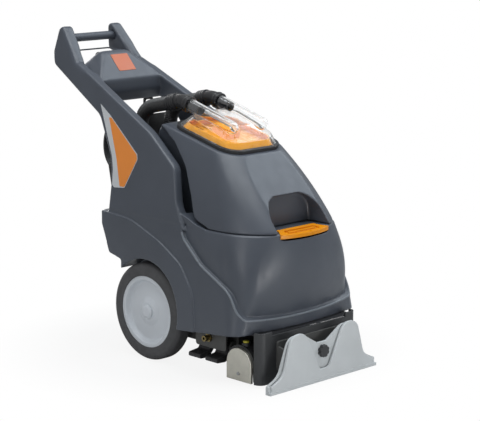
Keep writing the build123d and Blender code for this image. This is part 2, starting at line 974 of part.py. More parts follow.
# Rear housing with the vacuum motor, the two hose sockets and the curved rear cover
cover_knee_x = cover_low_x - (cover_knee_z - cover_low_z) * tan(radians(cover_lean))

with BuildPart() as rear_housing:
    add(side_prism(
        [
            (housing_front_x, deck_z), (housing_front_x, housing_top_z),
            (cover_knee_x + cover_wall + seam_gap, housing_top_z),
            (cover_knee_x + cover_wall + seam_gap, cover_knee_z),
            (cover_low_x + cover_wall + seam_gap, cover_low_z),
            (cover_low_x + cover_wall + seam_gap, deck_z),
        ],
        [0, 12, 0, 0, 0, 0],
    ))
    add(between_arms(deck_z - 20, housing_top_z + 20), mode=Mode.INTERSECT)
    with BuildSketch(Plane.XY.offset(housing_top_z)):
        with Locations((hose_drop_x, -tube_y), (hose_drop_x, tube_y)):
            Circle(hose_radius + socket_wall)
    extrude(amount=socket_top_z - housing_top_z)
    with BuildSketch(Plane.XY.offset(socket_top_z)):
        with Locations((hose_drop_x, -tube_y), (hose_drop_x, tube_y)):
            Circle(hose_radius + socket_gap)
    extrude(amount=-socket_depth, mode=Mode.SUBTRACT)
    with BuildSketch(Plane.XY.offset(deck_z)):
        with Locations((vacuum_x, 0)):
            Circle(vacuum_radius + vacuum_gap)
    extrude(amount=vacuum_height + vacuum_gap, mode=Mode.SUBTRACT)
write(rear_housing, "rear_housing")

with BuildPart() as vacuum_motor:
    with BuildSketch(Plane.XY.offset(deck_z)):
        with Locations((vacuum_x, 0)):
            Circle(vacuum_radius)
    extrude(amount=vacuum_height * vacuum_can_share)
    with BuildSketch(Plane.XY.offset(deck_z + vacuum_height * vacuum_can_share)):
        with Locations((vacuum_x, 0)):
            Circle(vacuum_radius * vacuum_cap_share)
    extrude(amount=vacuum_height * (1 - vacuum_can_share))
    fillet(vacuum_motor.faces().sort_by(Axis.Z)[-1].edges(), 8)
write(vacuum_motor, "vacuum_motor")

with BuildPart() as rear_cover:
    with BuildSketch(Plane.XZ):
        with BuildLine():
            ThreePointArc(
                (cover_top_x, cover_top_z), (cover_bulge_x, cover_bulge_z), (cover_knee_x, cover_knee_z)
            )
            Polyline(
                (cover_knee_x, cover_knee_z), (cover_low_x, cover_low_z),
                (cover_low_x + cover_wall, cover_low_z), (cover_knee_x + cover_wall, cover_knee_z),
            )
            ThreePointArc(
                (cover_knee_x + cover_wall, cover_knee_z), (cover_bulge_x + cover_wall, cover_bulge_z),
                (cover_top_x + cover_wall, cover_top_z),
            )
            Line((cover_top_x + cover_wall, cover_top_z), (cover_top_x, cover_top_z))
        make_face()
    extrude(amount=300, both=True)
    add(between_arms(cover_low_z - 20, cover_top_z + 20), mode=Mode.INTERSECT)
write(rear_cover, "rear_cover")

# Dome set on the tilted rim: gasket, filter tray, float cage and ball, clear dome with two tubes


def rim_sketch(height, length, width, corner_radius):
    """Rounded rectangle on a plane above the rim."""
    with BuildSketch(rim_plane.offset(height)) as section:
        RectangleRounded(length, width, corner_radius)
    return section.sketch


with BuildPart() as dome_gasket:
    extrude(rim_sketch(0, gasket_length, gasket_width, gasket_corner_radius), amount=gasket_height)
    gasket_hole = rim_sketch(
        0, gasket_length - 2 * gasket_ring, gasket_width - 2 * gasket_ring,
        gasket_corner_radius - gasket_ring,
    )
    extrude(gasket_hole, amount=gasket_height, mode=Mode.SUBTRACT)
write(dome_gasket, "dome_gasket")

float_plane = Plane(
    origin=rim_plane.from_local_coords((float_shift, 0, 0)), x_dir=rim_plane.x_dir,
    z_dir=rim_plane.z_dir,
)


def tray_section(height, inset):
    """Plan of the tray's leaning wall at a height, set in by a wall."""
    lean = tray_taper * height / tray_height
    return rim_sketch(
        height, tray_length - lean - 2 * inset, tray_width - lean / 2 - 2 * inset,
        tray_radius - inset,
    )


with BuildPart() as filter_tray:
    loft(sections=[tray_section(0, 0), tray_section(tray_height, 0)])
    loft(
        sections=[tray_section(tray_wall, tray_wall), tray_section(tray_height, tray_wall)],
        mode=Mode.SUBTRACT,
    )
    with BuildSketch(float_plane):
        RectangleRounded(tower_length, tower_width, 6)
    extrude(amount=tower_height)
    with BuildSketch(float_plane):
        Circle(float_radius + float_gap)
    extrude(amount=tower_height - tray_wall, mode=Mode.SUBTRACT)
    with BuildSketch(rim_plane):
        with GridLocations(0, tray_slot_pitch, 1, tray_slot_count):
            with Locations((tray_slot_shift, 0), (-tray_slot_shift, 0)):
                SlotOverall(tray_slot_length, tray_slot_width)
    extrude(amount=tray_wall, mode=Mode.SUBTRACT)
write(filter_tray, "filter_tray")

with BuildPart() as float_cage:
    with BuildSketch(float_plane):
        Circle(float_radius + float_gap + cage_wall)
        Circle(float_radius + float_gap, mode=Mode.SUBTRACT)
    extrude(amount=-cage_depth)
    with BuildSketch(float_plane.offset(-cage_depth)):
        Circle(float_radius + float_gap + cage_wall)
    extrude(amount=cage_wall)
    with BuildSketch(float_plane.offset(-cage_depth + 2 * cage_wall)):
        with PolarLocations(float_radius + float_gap, cage_slot_count):
            Rectangle(4 * cage_wall, cage_slot_width)
    extrude(amount=cage_depth - 4 * cage_wall, mode=Mode.SUBTRACT)
write(float_cage, "float_cage")

float_rest = -cage_depth + cage_wall + float_radius + tank_gap
with BuildPart() as float_ball:
    with Locations(float_plane.from_local_coords((0, 0, float_rest))):
        Sphere(float_radius)
write(float_ball, "float_ball")

tube_back = Vector(-cos(radians(tube_tilt)), 0, sin(radians(tube_tilt)))
tube_end = Vector(tube_end_x, 0, tube_end_z)
dome_waist_origin = rim_plane.from_local_coords((0, 0, gasket_height + dome_waist_height))
dome_waist_plane = tilted_plane(dome_waist_origin.X, dome_waist_origin.Z, dome_waist_tilt)
dome_top_z = tube_end_z - (dome_top_x - tube_end_x) * tan(radians(tube_tilt)) - dome_top_sink
dome_top_plane = tilted_plane(dome_top_x, dome_top_z, tube_tilt)


def dome_sketch(plane, length, width, corner_radius, shift):
    """Rounded rectangle on one of the dome's own planes."""
    with BuildSketch(plane) as section:
        with Locations((shift, 0)):
            RectangleRounded(length, width, corner_radius)
    return section.sketch


def dome_form(inset):
    """Domed cover and its two tubes, drawn in from the outside by a wall."""
    with BuildPart() as form:
        loft(
            sections=[
                rim_sketch(
                    gasket_height, dome_length - 2 * inset, dome_width - 2 * inset,
                    dome_corner_radius - inset,
                ),
                dome_sketch(
                    dome_waist_plane, dome_waist_length - 2 * inset, dome_waist_width - 2 * inset,
                    dome_corner_radius - inset, dome_waist_shift,
                ),
                dome_sketch(
                    dome_top_plane.offset(-inset), dome_top_length - 2 * inset,
                    dome_top_width - 2 * inset, dome_top_radius - inset, 0,
                ),
            ],
            ruled=True,
        )
        top = form.faces().sort_by(Axis(rim_plane.origin, rim_plane.z_dir))[-1]
        fillet(top.edges(), dome_edge - inset)
        for side in (-1, 1):
            low_end = tube_end - tube_back * tube_length + Vector(0, side * tube_y, 0)
            with BuildSketch(Plane(origin=low_end, x_dir=(0, 1, 0), z_dir=tube_back)):
                Circle(tube_radius - inset)
            extrude(amount=tube_length + cuff_lap + inset)
            with Locations(low_end):
                Sphere(tube_radius - inset)
    return form.part


with BuildPart() as below_gasket:
    rim_slab = rim_sketch(gasket_height, 2 * gasket_length, 2 * gasket_width, gasket_ring)
    extrude(rim_slab, amount=-gasket_length)

with BuildPart() as clear_dome:
    add(dome_form(0))
    add(dome_form(dome_wall), mode=Mode.SUBTRACT)
    add(below_gasket.part, mode=Mode.SUBTRACT)
write(clear_dome, "clear_dome")

# Elbows and ribbed hoses, drawn in the plane of each tube and then set to either side
fall_back = Vector(-cos(radians(elbow_fall)), 0, -sin(radians(elbow_fall)))
elbow_start = tube_end + tube_back * cuff_length
elbow_centre = elbow_start + Vector(-tube_back.Z, 0, tube_back.X) * elbow_bend_radius
elbow_end = elbow_centre - Vector(-fall_back.Z, 0, fall_back.X) * elbow_bend_radius
elbow_top = elbow_centre + Vector(0, 0, elbow_bend_radius)
cuff_end = elbow_end + fall_back * cuff_length * 2
hose_start = elbow_end + fall_back * tank_gap
hose_run = (hose_start.X - hose_drop_x - hose_bend_radius * (1 - sin(radians(elbow_fall)))) / -fall_back.X
hose_bend = hose_start + fall_back * hose_run
hose_centre = hose_bend + Vector(-fall_back.Z, 0, fall_back.X) * hose_bend_radius
hose_drop_z = hose_centre.Z
hose_turn = radians(90 - elbow_fall)
hose_end_z = hose_drop_z - hose_tail
ribbed_length = hose_run - 2 * hose_radius + hose_bend_radius * hose_turn
rib_count = int(ribbed_length / rib_pitch)


def side_plane(point, direction, side):
    """Plane across a tube at a point of its side-view path."""
    return Plane(
        origin=(point.X, side * tube_y, point.Z), x_dir=(0, 1, 0), z_dir=(direction.X, 0, direction.Z)
    )


def hose_plane(distance, side):
    """Plane across the hose at a distance along it from its upper end."""
    if distance <= hose_run:
        return side_plane(hose_start + fall_back * distance, fall_back, side)
    angle = radians(elbow_fall) + min((distance - hose_run) / hose_bend_radius, hose_turn)
    direction = Vector(-cos(angle), 0, -sin(angle))
    point = hose_centre - Vector(-direction.Z, 0, direction.X) * hose_bend_radius
    drop = max(distance - hose_run - hose_bend_radius * hose_turn, 0)
    return side_plane(point + Vector(0, 0, -drop), direction, side)


def hose_ring(distance, radius, side):
    """Circle across the hose at a distance along it."""
    with BuildSketch(hose_plane(distance, side)) as ring:
        Circle(radius)
    return ring.sketch


for side_name, side in (("right", -1), ("left", 1)):
    with BuildPart() as elbow:
        with BuildLine() as elbow_path:
            bend = ThreePointArc(
                (elbow_start.X, side * tube_y, elbow_start.Z), (elbow_top.X, side * tube_y, elbow_top.Z),
                (elbow_end.X, side * tube_y, elbow_end.Z),
            )
        with BuildSketch(side_plane(elbow_start, tube_back, side)):
            Circle(hose_radius)
        sweep(path=elbow_path.line)
        with BuildSketch(side_plane(tube_end, tube_back, side)):
            Circle(cuff_radius)
        extrude(amount=cuff_length + 1)
        with BuildSketch(side_plane(elbow_end - fall_back, fall_back, side)):
            Circle(cuff_radius)
        extrude(amount=2 * cuff_length + 1)
        with BuildSketch(side_plane(tube_end, tube_back, side)):
            Circle(tube_radius + running_gap)
        extrude(amount=cuff_lap + running_gap, mode=Mode.SUBTRACT)
        with BuildSketch(side_plane(cuff_end, fall_back, side)):
            Circle(hose_radius + running_gap)
        extrude(amount=-2 * cuff_length, mode=Mode.SUBTRACT)
        with BuildSketch(side_plane(tube_end, tube_back, side)):
            Circle(hose_bore_radius)
        extrude(amount=cuff_length, mode=Mode.SUBTRACT)
        with BuildSketch(side_plane(elbow_start, tube_back, side)):
            Circle(hose_bore_radius)
        sweep(path=elbow_path.line, mode=Mode.SUBTRACT)
        # Spigot that lines the clear tube, rooted in the elbow behind the tube's end
        spigot_seat = tube_end + tube_back * (cuff_lap + running_gap)
        with BuildSketch(side_plane(spigot_seat, tube_back, side)):
            Circle(tube_radius)
            Circle(elbow_spigot_bore, mode=Mode.SUBTRACT)
        extrude(amount=elbow_spigot_root)
        with BuildSketch(side_plane(spigot_seat + tube_back, tube_back, side)):
            Circle(elbow_spigot_radius)
            Circle(elbow_spigot_bore, mode=Mode.SUBTRACT)
        extrude(amount=-elbow_spigot_reach - cuff_lap)
    write(elbow, f"{side_name}_elbow")

    rings = [hose_ring(0, hose_radius, side)]
    for rib in range(rib_count):
        low = 2 * hose_radius + rib * rib_pitch
        rings.append(hose_ring(low, hose_radius - rib_depth, side))
        rings.append(hose_ring(low + 0.3 * rib_pitch, hose_radius - rib_depth, side))
        rings.append(hose_ring(low + 0.5 * rib_pitch, hose_radius, side))
        rings.append(hose_ring(low + 0.8 * rib_pitch, hose_radius, side))
    drop_start = hose_run + hose_bend_radius * hose_turn
    rings.append(hose_ring(drop_start, hose_radius, side))
    rings.append(hose_ring(drop_start + hose_tail, hose_radius, side))
    with BuildPart() as hose:
        loft(sections=rings, ruled=True)
        with BuildLine() as bore_path:
            straight = Line(
                (hose_start.X, side * tube_y, hose_start.Z), (hose_bend.X, side * tube_y, hose_bend.Z)
            )
            bend_middle = hose_plane(hose_run + hose_bend_radius * hose_turn / 2, side).origin
            ThreePointArc(straight @ 1, bend_middle, (hose_drop_x, side * tube_y, hose_drop_z))
            Line((hose_drop_x, side * tube_y, hose_drop_z), (hose_drop_x, side * tube_y, hose_end_z))
        with BuildSketch(side_plane(hose_start, fall_back, side)):
            Circle(hose_bore_radius - 1.5)
        sweep(path=bore_path.line, mode=Mode.SUBTRACT)
    write(hose, f"{side_name}_hose")

# Running gear: axle through the chassis frame, with a moulded wheel at each end
axle_half = wheel_face - axle_inset
side_plate_inner = cavity_half - side_plate_inset

with BuildPart() as wheel_axle:
    with BuildSketch(Plane.XZ):
        with Locations((axle_x, wheel_radius)):
            Circle(axle_radius)
    extrude(amount=axle_half, both=True)
write(wheel_axle, "wheel_axle")

with BuildPart() as chassis_frame:
    with BuildSketch(Plane.XZ):
        with BuildLine():
            FilletPolyline(
                (frame_rear_x, underside_z), (frame_rear_x, frame_axle_z + 20),
                (axle_x - 30, frame_axle_z), (axle_x + 30, frame_axle_z), (axle_x + 66, frame_low_z),
                (frame_front_x, frame_low_z), (frame_front_x, underside_z),
                radius=[0, 10, 10, 10, 10, 0, 0], close=True,
            )
        make_face()
        with Locations((axle_x, wheel_radius)):
            Circle(axle_radius + running_gap, mode=Mode.SUBTRACT)
    extrude(amount=side_plate_inner + plate_thickness, both=True)
    with BuildSketch(Plane.XY.offset(underside_z - plate_thickness)):
        with Locations(((frame_rear_x + frame_front_x - plate_thickness) / 2, 0)):
            Rectangle(frame_front_x - frame_rear_x - plate_thickness, 2 * side_plate_inner)
    extrude(amount=-underside_z, mode=Mode.SUBTRACT)
    with BuildSketch(Plane.YZ.offset(frame_front_x)):
        with Locations((0, (cross_low_z + frame_low_z + plate_thickness) / 2)):
            Rectangle(2 * side_plate_inner, frame_low_z - cross_low_z + plate_thickness)
    extrude(amount=-plate_thickness)
    # Lugs that carry the pedal shaft
    rear_lug_x = pedal_rear_x - lug_thickness - pedal_side_gap
    front_lug_x = pedal_front_x + pedal_length + pedal_side_gap
    for lug_x in (rear_lug_x, front_lug_x):
        with BuildSketch(Plane.YZ.offset(lug_x)):
            with BuildLine():
                FilletPolyline(
                    (-side_plate_inner, frame_low_z), (-side_plate_inner, frame_low_z + lug_height),
                    (pedal_shaft_y - lug_reach, frame_low_z + lug_height),
                    (pedal_shaft_y - lug_reach, frame_low_z), radius=[0, 0, 8, 8], close=True,
                )
            make_face()
            with Locations((pedal_shaft_y, pedal_shaft_z)):
                Circle(pedal_shaft_radius + running_gap, mode=Mode.SUBTRACT)
        extrude(amount=lug_thickness)
    # Hole for the brush motor's shaft, and the saddle that holds the motor under the base plate
    with BuildSketch(Plane.XZ.offset(-side_plate_inner)):
        with Locations((motor_x, motor_z)):
            Circle(motor_shaft_radius + seam_gap)
    extrude(amount=-plate_thickness, mode=Mode.SUBTRACT)
    with BuildSketch(Plane.XZ.offset(-motor_y)):
        with Locations((motor_x, motor_z + motor_radius)):
            Rectangle(motor_radius, 2 * (underside_z - plate_thickness - motor_z - motor_radius))
        with Locations((motor_x, motor_z)):
            Circle(motor_radius + running_gap, mode=Mode.SUBTRACT)
    extrude(amount=motor_length / 3, both=True)
write(chassis_frame, "chassis_frame")

for side_name, side in (("right", -1), ("left", 1)):
    # Half-sections with depth from the wheel's outer face across and radius upwards
    wheel_section = Plane(
        origin=(axle_x, side * wheel_face, wheel_radius), x_dir=(0, -side, 0), z_dir=(-side, 0, 0)
    )
    spin_axis = Axis((axle_x, 0, wheel_radius), (0, 1, 0))
    with BuildPart() as tyre:
        with BuildSketch(wheel_section):
            with BuildLine():
                FilletPolyline(
                    (0, hub_radius), (0, wheel_radius), (tyre_width, wheel_radius),
                    (tyre_width, hub_radius), radius=[0, tyre_shoulder, tyre_shoulder, 0], close=True,
                )
            make_face()
        revolve(axis=spin_axis)
    write(tyre, f"{side_name}_tyre")

    rim_inner = hub_radius - hub_rim
    bore = axle_radius + running_gap
    with BuildPart() as wheel_hub:
        with BuildSketch(wheel_section):
            with BuildLine():
                FilletPolyline(
                    (2, hub_radius), (2, rim_inner), (hub_dish, rim_inner - 8),
                    (hub_dish - 4, nave_radius + 14), (nave_face, nave_radius), (nave_face, bore),
                    (tyre_width - 4, bore), (tyre_width - 4, nave_radius),
                    (hub_dish + hub_web, nave_radius + 6), (hub_dish + hub_web + 4, rim_inner - 5),
                    (tyre_width - 2, rim_inner), (tyre_width - 2, hub_radius),
                    radius=[0, 2, 6, 6, 2, 0, 0, 2, 6, 6, 2, 0], close=True,
                )
            make_face()
        revolve(axis=spin_axis)
    write(wheel_hub, f"{side_name}_hub")

    with BuildPart() as hub_cap:
        with BuildSketch(wheel_section):
            with BuildLine():
                Polyline(
                    (nave_face, 0), (nave_face, cap_radius), (nave_face - 3, cap_radius),
                    (nave_face - cap_height, cap_radius - 7), (nave_face - cap_height, 0), close=True,
                )
            make_face()
        revolve(axis=spin_axis)
    write(hub_cap, f"{side_name}_hub_cap")

# Brush deck: an arched tunnel with the brush roller, its end plates and its belt drive
tunnel_top_z = end_plate_low_z + end_plate_half - 2
journal_end = housing_half + 3


def arch_sketch(plane, half, low_z):
    """Arch outline across the machine: straight legs and a half-round top."""
    with BuildSketch(plane) as arch:
        with BuildLine():
            Polyline(
                (brush_x - half, tunnel_top_z), (brush_x - half, low_z), (brush_x + half, low_z),
                (brush_x + half, tunnel_top_z),
            )
            ThreePointArc(
                (brush_x + half, tunnel_top_z), (brush_x, tunnel_top_z + half),
                (brush_x - half, tunnel_top_z),
            )
        make_face()
    return arch.sketch


def belt_loop(grow):
    """Outline of the belt's run round both pulleys, grown from the pulley rims."""
    with BuildSketch(Plane.XZ.offset(-pulley_y)) as loop:
        with Locations((brush_x, brush_z)):
            Circle(brush_pulley_radius + grow)
        with Locations((motor_x, motor_z)):
            Circle(motor_pulley_radius + grow)
        make_hull()
    return loop.sketch


with BuildPart() as brush_housing:
    tunnel = arch_sketch(Plane.XZ.offset(housing_half), tunnel_half, end_plate_low_z + 4)
    extrude(tunnel, amount=-2 * housing_half)
    with BuildSketch(Plane.XZ.offset(-housing_half + end_wall)):
        with Locations((brush_x, brush_z)):
            Circle(chamber_radius)
        with Locations((brush_x, 0)):
            Rectangle(2 * chamber_radius, 2 * brush_z)
    extrude(amount=2 * housing_half, mode=Mode.SUBTRACT)
    with BuildSketch(Plane.XZ):
        with Locations((brush_x, brush_z)):
            Circle(journal_radius + running_gap)
    extrude(amount=-housing_half, mode=Mode.SUBTRACT)
    belt_slot = belt_loop(belt_thickness + belt_room)
    extrude(belt_slot, amount=pulley_width / 2 + belt_room, both=True, mode=Mode.SUBTRACT)
    with BuildSketch(Plane.XY.offset(tunnel_top_z + tunnel_half - button_seat)):
        with Locations((button_x, button_y)):
            Circle(button_radius + button_collar)
    extrude(amount=button_seat + button_collar_height)
    with BuildSketch(Plane.XY.offset(tunnel_top_z + tunnel_half + button_collar_height)):
        with Locations((button_x, button_y)):
            Circle(button_radius + tank_gap)
    extrude(amount=-button_collar_height - button_seat + button_floor, mode=Mode.SUBTRACT)
write(brush_housing, "brush_housing")

with BuildPart() as release_button:
    button_low_z = tunnel_top_z + tunnel_half - button_seat + button_floor + button_travel + tank_gap
    with BuildSketch(Plane.XY.offset(button_low_z)):
        with Locations((button_x, button_y)):
            Circle(button_radius)
    extrude(amount=button_height)
    fillet(release_button.faces().sort_by(Axis.Z)[-1].edges(), 2)
write(release_button, "release_button")

with BuildPart() as right_end_plate:
    right_outline = arch_sketch(Plane.XZ.offset(housing_half), end_plate_half, end_plate_low_z)
    extrude(right_outline, amount=end_plate_thickness)
    fillet(right_end_plate.faces().sort_by(Axis.Y)[0].edges(), 2)
    with BuildSketch(Plane.XZ.offset(housing_half)):
        with Locations((brush_x, brush_z)):
            Circle(journal_radius)
    extrude(amount=-spigot_length)
write(right_end_plate, "right_end_plate")

with BuildPart() as left_end_plate:
    left_outline = arch_sketch(Plane.XZ.offset(-housing_half), end_plate_half, end_plate_low_z)
    extrude(left_outline, amount=-end_plate_thickness)
    fillet(left_end_plate.faces().sort_by(Axis.Y)[-1].edges(), 2)
    with BuildSketch(Plane.XZ.offset(-housing_half)):
        with Locations((brush_x, brush_z)):
            Circle(journal_radius + 1)
    extrude(amount=-journal_end + housing_half - 1, mode=Mode.SUBTRACT)
write(left_end_plate, "left_end_plate")

core_left = pulley_y - pulley_width / 2 - 3
core_right = housing_half - 3
with BuildPart() as brush_core:
    with BuildSketch(Plane.XZ.offset(core_right)):
        with Locations((brush_x, brush_z)):
            Circle(brush_core_radius)
    extrude(amount=-core_right - core_left)
    with BuildSketch(Plane.XZ.offset(-core_left)):
        with Locations((brush_x, brush_z)):
            Circle(journal_radius)
    extrude(amount=-journal_end + core_left)
    with BuildSketch(Plane.XZ.offset(core_right)):
        with Locations((brush_x, brush_z)):
            Circle(journal_radius + running_gap)
    extrude(amount=-spigot_length, mode=Mode.SUBTRACT)
write(brush_core, "brush_core")

# Tufts in helical rows on a thin sleeve round the core
tuft_sleeve = brush_core_radius + 3
tuft_run = 2 * brush_half
with BuildPart() as brush_bristles:
    with BuildSketch(Plane.XZ.offset(brush_half)):
        with Locations((brush_x, brush_z)):
            Circle(tuft_sleeve)
            Circle(brush_core_radius + running_gap, mode=Mode.SUBTRACT)
    extrude(amount=-tuft_run)
    tuft_planes = []
    for row in range(tuft_rows):
        for tuft in range(tufts_per_row):
            along = brush_half - tuft_run * (tuft + 0.5) / tufts_per_row
            turn = radians(360 * (row / tuft_rows + tuft_twist * tuft / tufts_per_row))
            outward = Vector(cos(turn), 0, sin(turn))
            foot = Vector(brush_x, -along, brush_z) + outward * (tuft_sleeve - 1)
            tuft_planes.append(Plane(origin=foot, x_dir=(0, 1, 0), z_dir=outward))
    with BuildSketch(*tuft_planes):
        Rectangle(tuft_size, tuft_size)
    extrude(amount=brush_radius - tuft_sleeve + 1)
write(brush_bristles, "brush_bristles")

with BuildPart() as brush_pulley:
    with BuildSketch(Plane.XZ.offset(-pulley_y)):
        with Locations((brush_x, brush_z)):
            Circle(brush_pulley_radius)
            Circle(journal_radius + running_gap, mode=Mode.SUBTRACT)
    extrude(amount=pulley_width / 2, both=True)
write(brush_pulley, "brush_pulley")

with BuildPart() as motor_pulley:
    with BuildSketch(Plane.XZ.offset(-pulley_y)):
        with Locations((motor_x, motor_z)):
            Circle(motor_pulley_radius)
            Circle(motor_shaft_radius + running_gap, mode=Mode.SUBTRACT)
    extrude(amount=pulley_width / 2, both=True)
write(motor_pulley, "motor_pulley")

with BuildPart() as drive_belt:
    extrude(belt_loop(tank_gap + belt_thickness), amount=pulley_width / 2, both=True)
    extrude(belt_loop(tank_gap), amount=pulley_width / 2, both=True, mode=Mode.SUBTRACT)
write(drive_belt, "drive_belt")

motor_left = motor_y + motor_length / 2
with BuildPart() as brush_motor:
    with BuildSketch(Plane.XZ.offset(-motor_left)):
        with Locations((motor_x, motor_z)):
            Circle(motor_radius)
    extrude(amount=motor_length)
    fillet(brush_motor.faces().filter_by(GeomType.PLANE).edges(), 6)
    with BuildSketch(Plane.XZ.offset(-motor_left)):
        with Locations((motor_x, motor_z)):
            Circle(motor_shaft_radius)
    extrude(amount=motor_left - pulley_y - pulley_width / 2 - 2)
write(brush_motor, "brush_motor")

# Front apron round the deck, with the spray bar on its inner face
with BuildPart() as front_apron:
    with BuildSketch(Plane.XY.offset(apron_low_z)):
        with BuildLine():
            FilletPolyline(
                (apron_rear_x, -apron_half), (apron_x, -apron_half), (apron_x, apron_half),
                (apron_rear_x, apron_half), (apron_rear_x, apron_half - apron_wall),
                (apron_x - apron_wall, apron_half - apron_wall),
                (apron_x - apron_wall, apron_wall - apron_half), (apron_rear_x, apron_wall - apron_half),
                radius=[
                    0, apron_corner_radius, apron_corner_radius, 0, 0, apron_corner_radius - apron_wall,
                    apron_corner_radius - apron_wall, 0,
                ],
                close=True,
            )
        make_face()
    extrude(amount=apron_top_z + apron_ear_rise - apron_low_z)
    # Only the ends stay tall, where the tank's rounded corners leave a gap
    with Locations((apron_x, 0, apron_top_z + apron_ear_rise / 2)):
        Box(apron_x - apron_rear_x, 2 * apron_ear_y, apron_ear_rise, mode=Mode.SUBTRACT)
write(front_apron, "front_apron")

with BuildPart() as spray_bar:
    with BuildSketch(Plane.XZ):
        with Locations((spray_x, spray_z)):
            Circle(spray_radius)
    extrude(amount=spray_half, both=True)
    for spray_y in (-spray_pitch, 0, spray_pitch):
        with Locations(((spray_x + apron_x - apron_wall) / 2, spray_y, spray_z)):
            Box(apron_x - apron_wall - spray_x, 3 * spray_radius, 2 * spray_radius)
        with Locations((spray_x, spray_y, spray_z - 2 * spray_radius)):
            Cone(spray_radius / 2, spray_radius, 2 * spray_radius)
write(spray_bar, "spray_bar")

# Vacuum shoe: two plates with twin humps, a slot between them and a clamp knob in the notch
rear_plate_x = shoe_x - shoe_plate - shoe_slot - rear_plate


def shoe_outline(plane, half, hump_z, notch_z):
    """Twin-humped outline of a shoe plate, seen from the front."""
    with BuildSketch(plane) as outline:
        with BuildLine():
            FilletPolyline(
                (-half, 0), (half, 0), (half, shoe_lip),
                (half - shoe_flare_run, shoe_lip + shoe_flare_rise),
                (shoe_hump_y + hump_half, hump_z), (shoe_hump_y - hump_half, hump_z),
                (notch_half, notch_z), (-notch_half, notch_z),
                (hump_half - shoe_hump_y, hump_z), (-shoe_hump_y - hump_half, hump_z),
                (shoe_flare_run - half, shoe_lip + shoe_flare_rise), (-half, shoe_lip),
                radius=[
                    0, 0, shoe_lip_radius, shoe_flare_radius, hump_radius, hump_radius, notch_radius,
                    notch_radius, hump_radius, hump_radius, shoe_flare_radius, shoe_lip_radius,
                ],
                close=True,
            )
        make_face()
    return outline.sketch


with BuildPart() as shoe_front_plate:
    front_outline = shoe_outline(
        Plane.YZ.offset(shoe_x - shoe_plate), shoe_half - 8, shoe_hump_z, shoe_notch_z
    )
    extrude(front_outline, amount=shoe_plate - shoe_lip_proud)
    fillet(shoe_front_plate.faces().sort_by(Axis.X)[-1].edges().sort_by(Axis.Z)[1:], 2)
    with BuildSketch(Plane.YZ.offset(shoe_x - shoe_plate)):
        with Locations((0, shoe_strip / 2)):
            Rectangle(2 * shoe_half, shoe_strip)
    extrude(amount=shoe_plate)
write(shoe_front_plate, "shoe_front_plate")

with BuildPart() as shoe_rear_plate:
    rear_outline = shoe_outline(
        Plane.YZ.offset(rear_plate_x), shoe_half, shoe_hump_z - 6, rear_notch_z
    )
    extrude(rear_outline, amount=rear_plate)
    # Raised edges that space the plates and close the slot's ends
    with BuildSketch(Plane.YZ.offset(rear_plate_x + rear_plate)):
        with Locations((shoe_half - 6, shoe_lip / 2), (6 - shoe_half, shoe_lip / 2)):
            Rectangle(12, shoe_lip)
        with Locations((shoe_hump_y, shoe_hump_z - 30), (-shoe_hump_y, shoe_hump_z - 30)):
            Circle(12)
    extrude(amount=shoe_slot)
    with BuildSketch(Plane.YZ.offset(rear_plate_x)):
        with Locations((0, knob_z)):
            Circle(knob_stud_radius + running_gap)
    extrude(amount=rear_plate, mode=Mode.SUBTRACT)
write(shoe_rear_plate, "shoe_rear_plate")

with BuildPart() as shoe_knob:
    with BuildSketch(Plane.YZ.offset(rear_plate_x + rear_plate + tank_gap)):
        with Locations((0, knob_z)):
            Circle(knob_radius)
            with PolarLocations(knob_radius + 2, knob_flutes):
                Circle(knob_flute_radius, mode=Mode.SUBTRACT)
    extrude(amount=shoe_x - rear_plate_x - rear_plate - tank_gap)
    fillet(shoe_knob.faces().sort_by(Axis.X)[-1].edges(), 1.5)
    with BuildSketch(Plane.YZ.offset(rear_plate_x)):
        with Locations((0, knob_z)):
            Circle(knob_stud_radius)
    extrude(amount=rear_plate + tank_gap)
write(shoe_knob, "shoe_knob")

with BuildPart() as shoe_bracket:
    with BuildSketch(Plane.YZ.offset(apron_x)):
        with Locations((0, (bracket_low_z + bracket_top_z) / 2)):
            RectangleRounded(2 * bracket_half, bracket_top_z - bracket_low_z, 8)
    extrude(amount=bracket_plate)
    for side in (-1, 1):
        with BuildSketch(Plane.XZ.offset(-side * bracket_half)):
            with BuildLine():
                FilletPolyline(
                    (apron_x, bracket_low_z + 12), (rear_plate_x - tank_gap, bracket_low_z + 12),
                    (rear_plate_x - tank_gap, bracket_top_z - 20), (apron_x, bracket_top_z - 12),
                    radius=[0, 5, 10, 0], close=True,
                )
            make_face()
        extrude(amount=side * bracket_plate)
write(shoe_bracket, "shoe_bracket")

# Foot pedals on their shaft, and the service panel with its hose coupler
with BuildPart() as pedal_shaft:
    with BuildSketch(Plane.YZ.offset(pedal_rear_x - lug_thickness - pedal_side_gap)):
        with Locations((pedal_shaft_y, pedal_shaft_z)):
            Circle(pedal_shaft_radius)
    extrude(amount=pedal_front_x + pedal_length - pedal_rear_x + 2 * (lug_thickness + pedal_side_gap))
write(pedal_shaft, "pedal_shaft")

for pedal_name, pedal_x in (("rear_pedal", pedal_rear_x), ("front_pedal", pedal_front_x)):
    with BuildPart() as pedal:
        with BuildSketch(Plane.YZ.offset(pedal_x)):
            with BuildLine():
                FilletPolyline(
                    (pedal_shaft_y + 2, pedal_shaft_z + 8), (pedal_shaft_y - 10, pedal_shaft_z + 4),
                    (pedal_y + 36, pedal_pad_z + 12), (pedal_y, pedal_pad_z + 8),
                    (pedal_y, pedal_pad_z - 4), (pedal_y + 34, pedal_pad_z - 6),
                    (pedal_shaft_y + 2, pedal_shaft_z - 10),
                    radius=[0, 6, 8, 5, 5, 10, 0], close=True,
                )
            make_face()
            with Locations((pedal_shaft_y, pedal_shaft_z)):
                Circle(pedal_shaft_radius + 5)
                Circle(pedal_shaft_radius + running_gap, mode=Mode.SUBTRACT)
        extrude(amount=pedal_length)
    write(pedal, pedal_name)

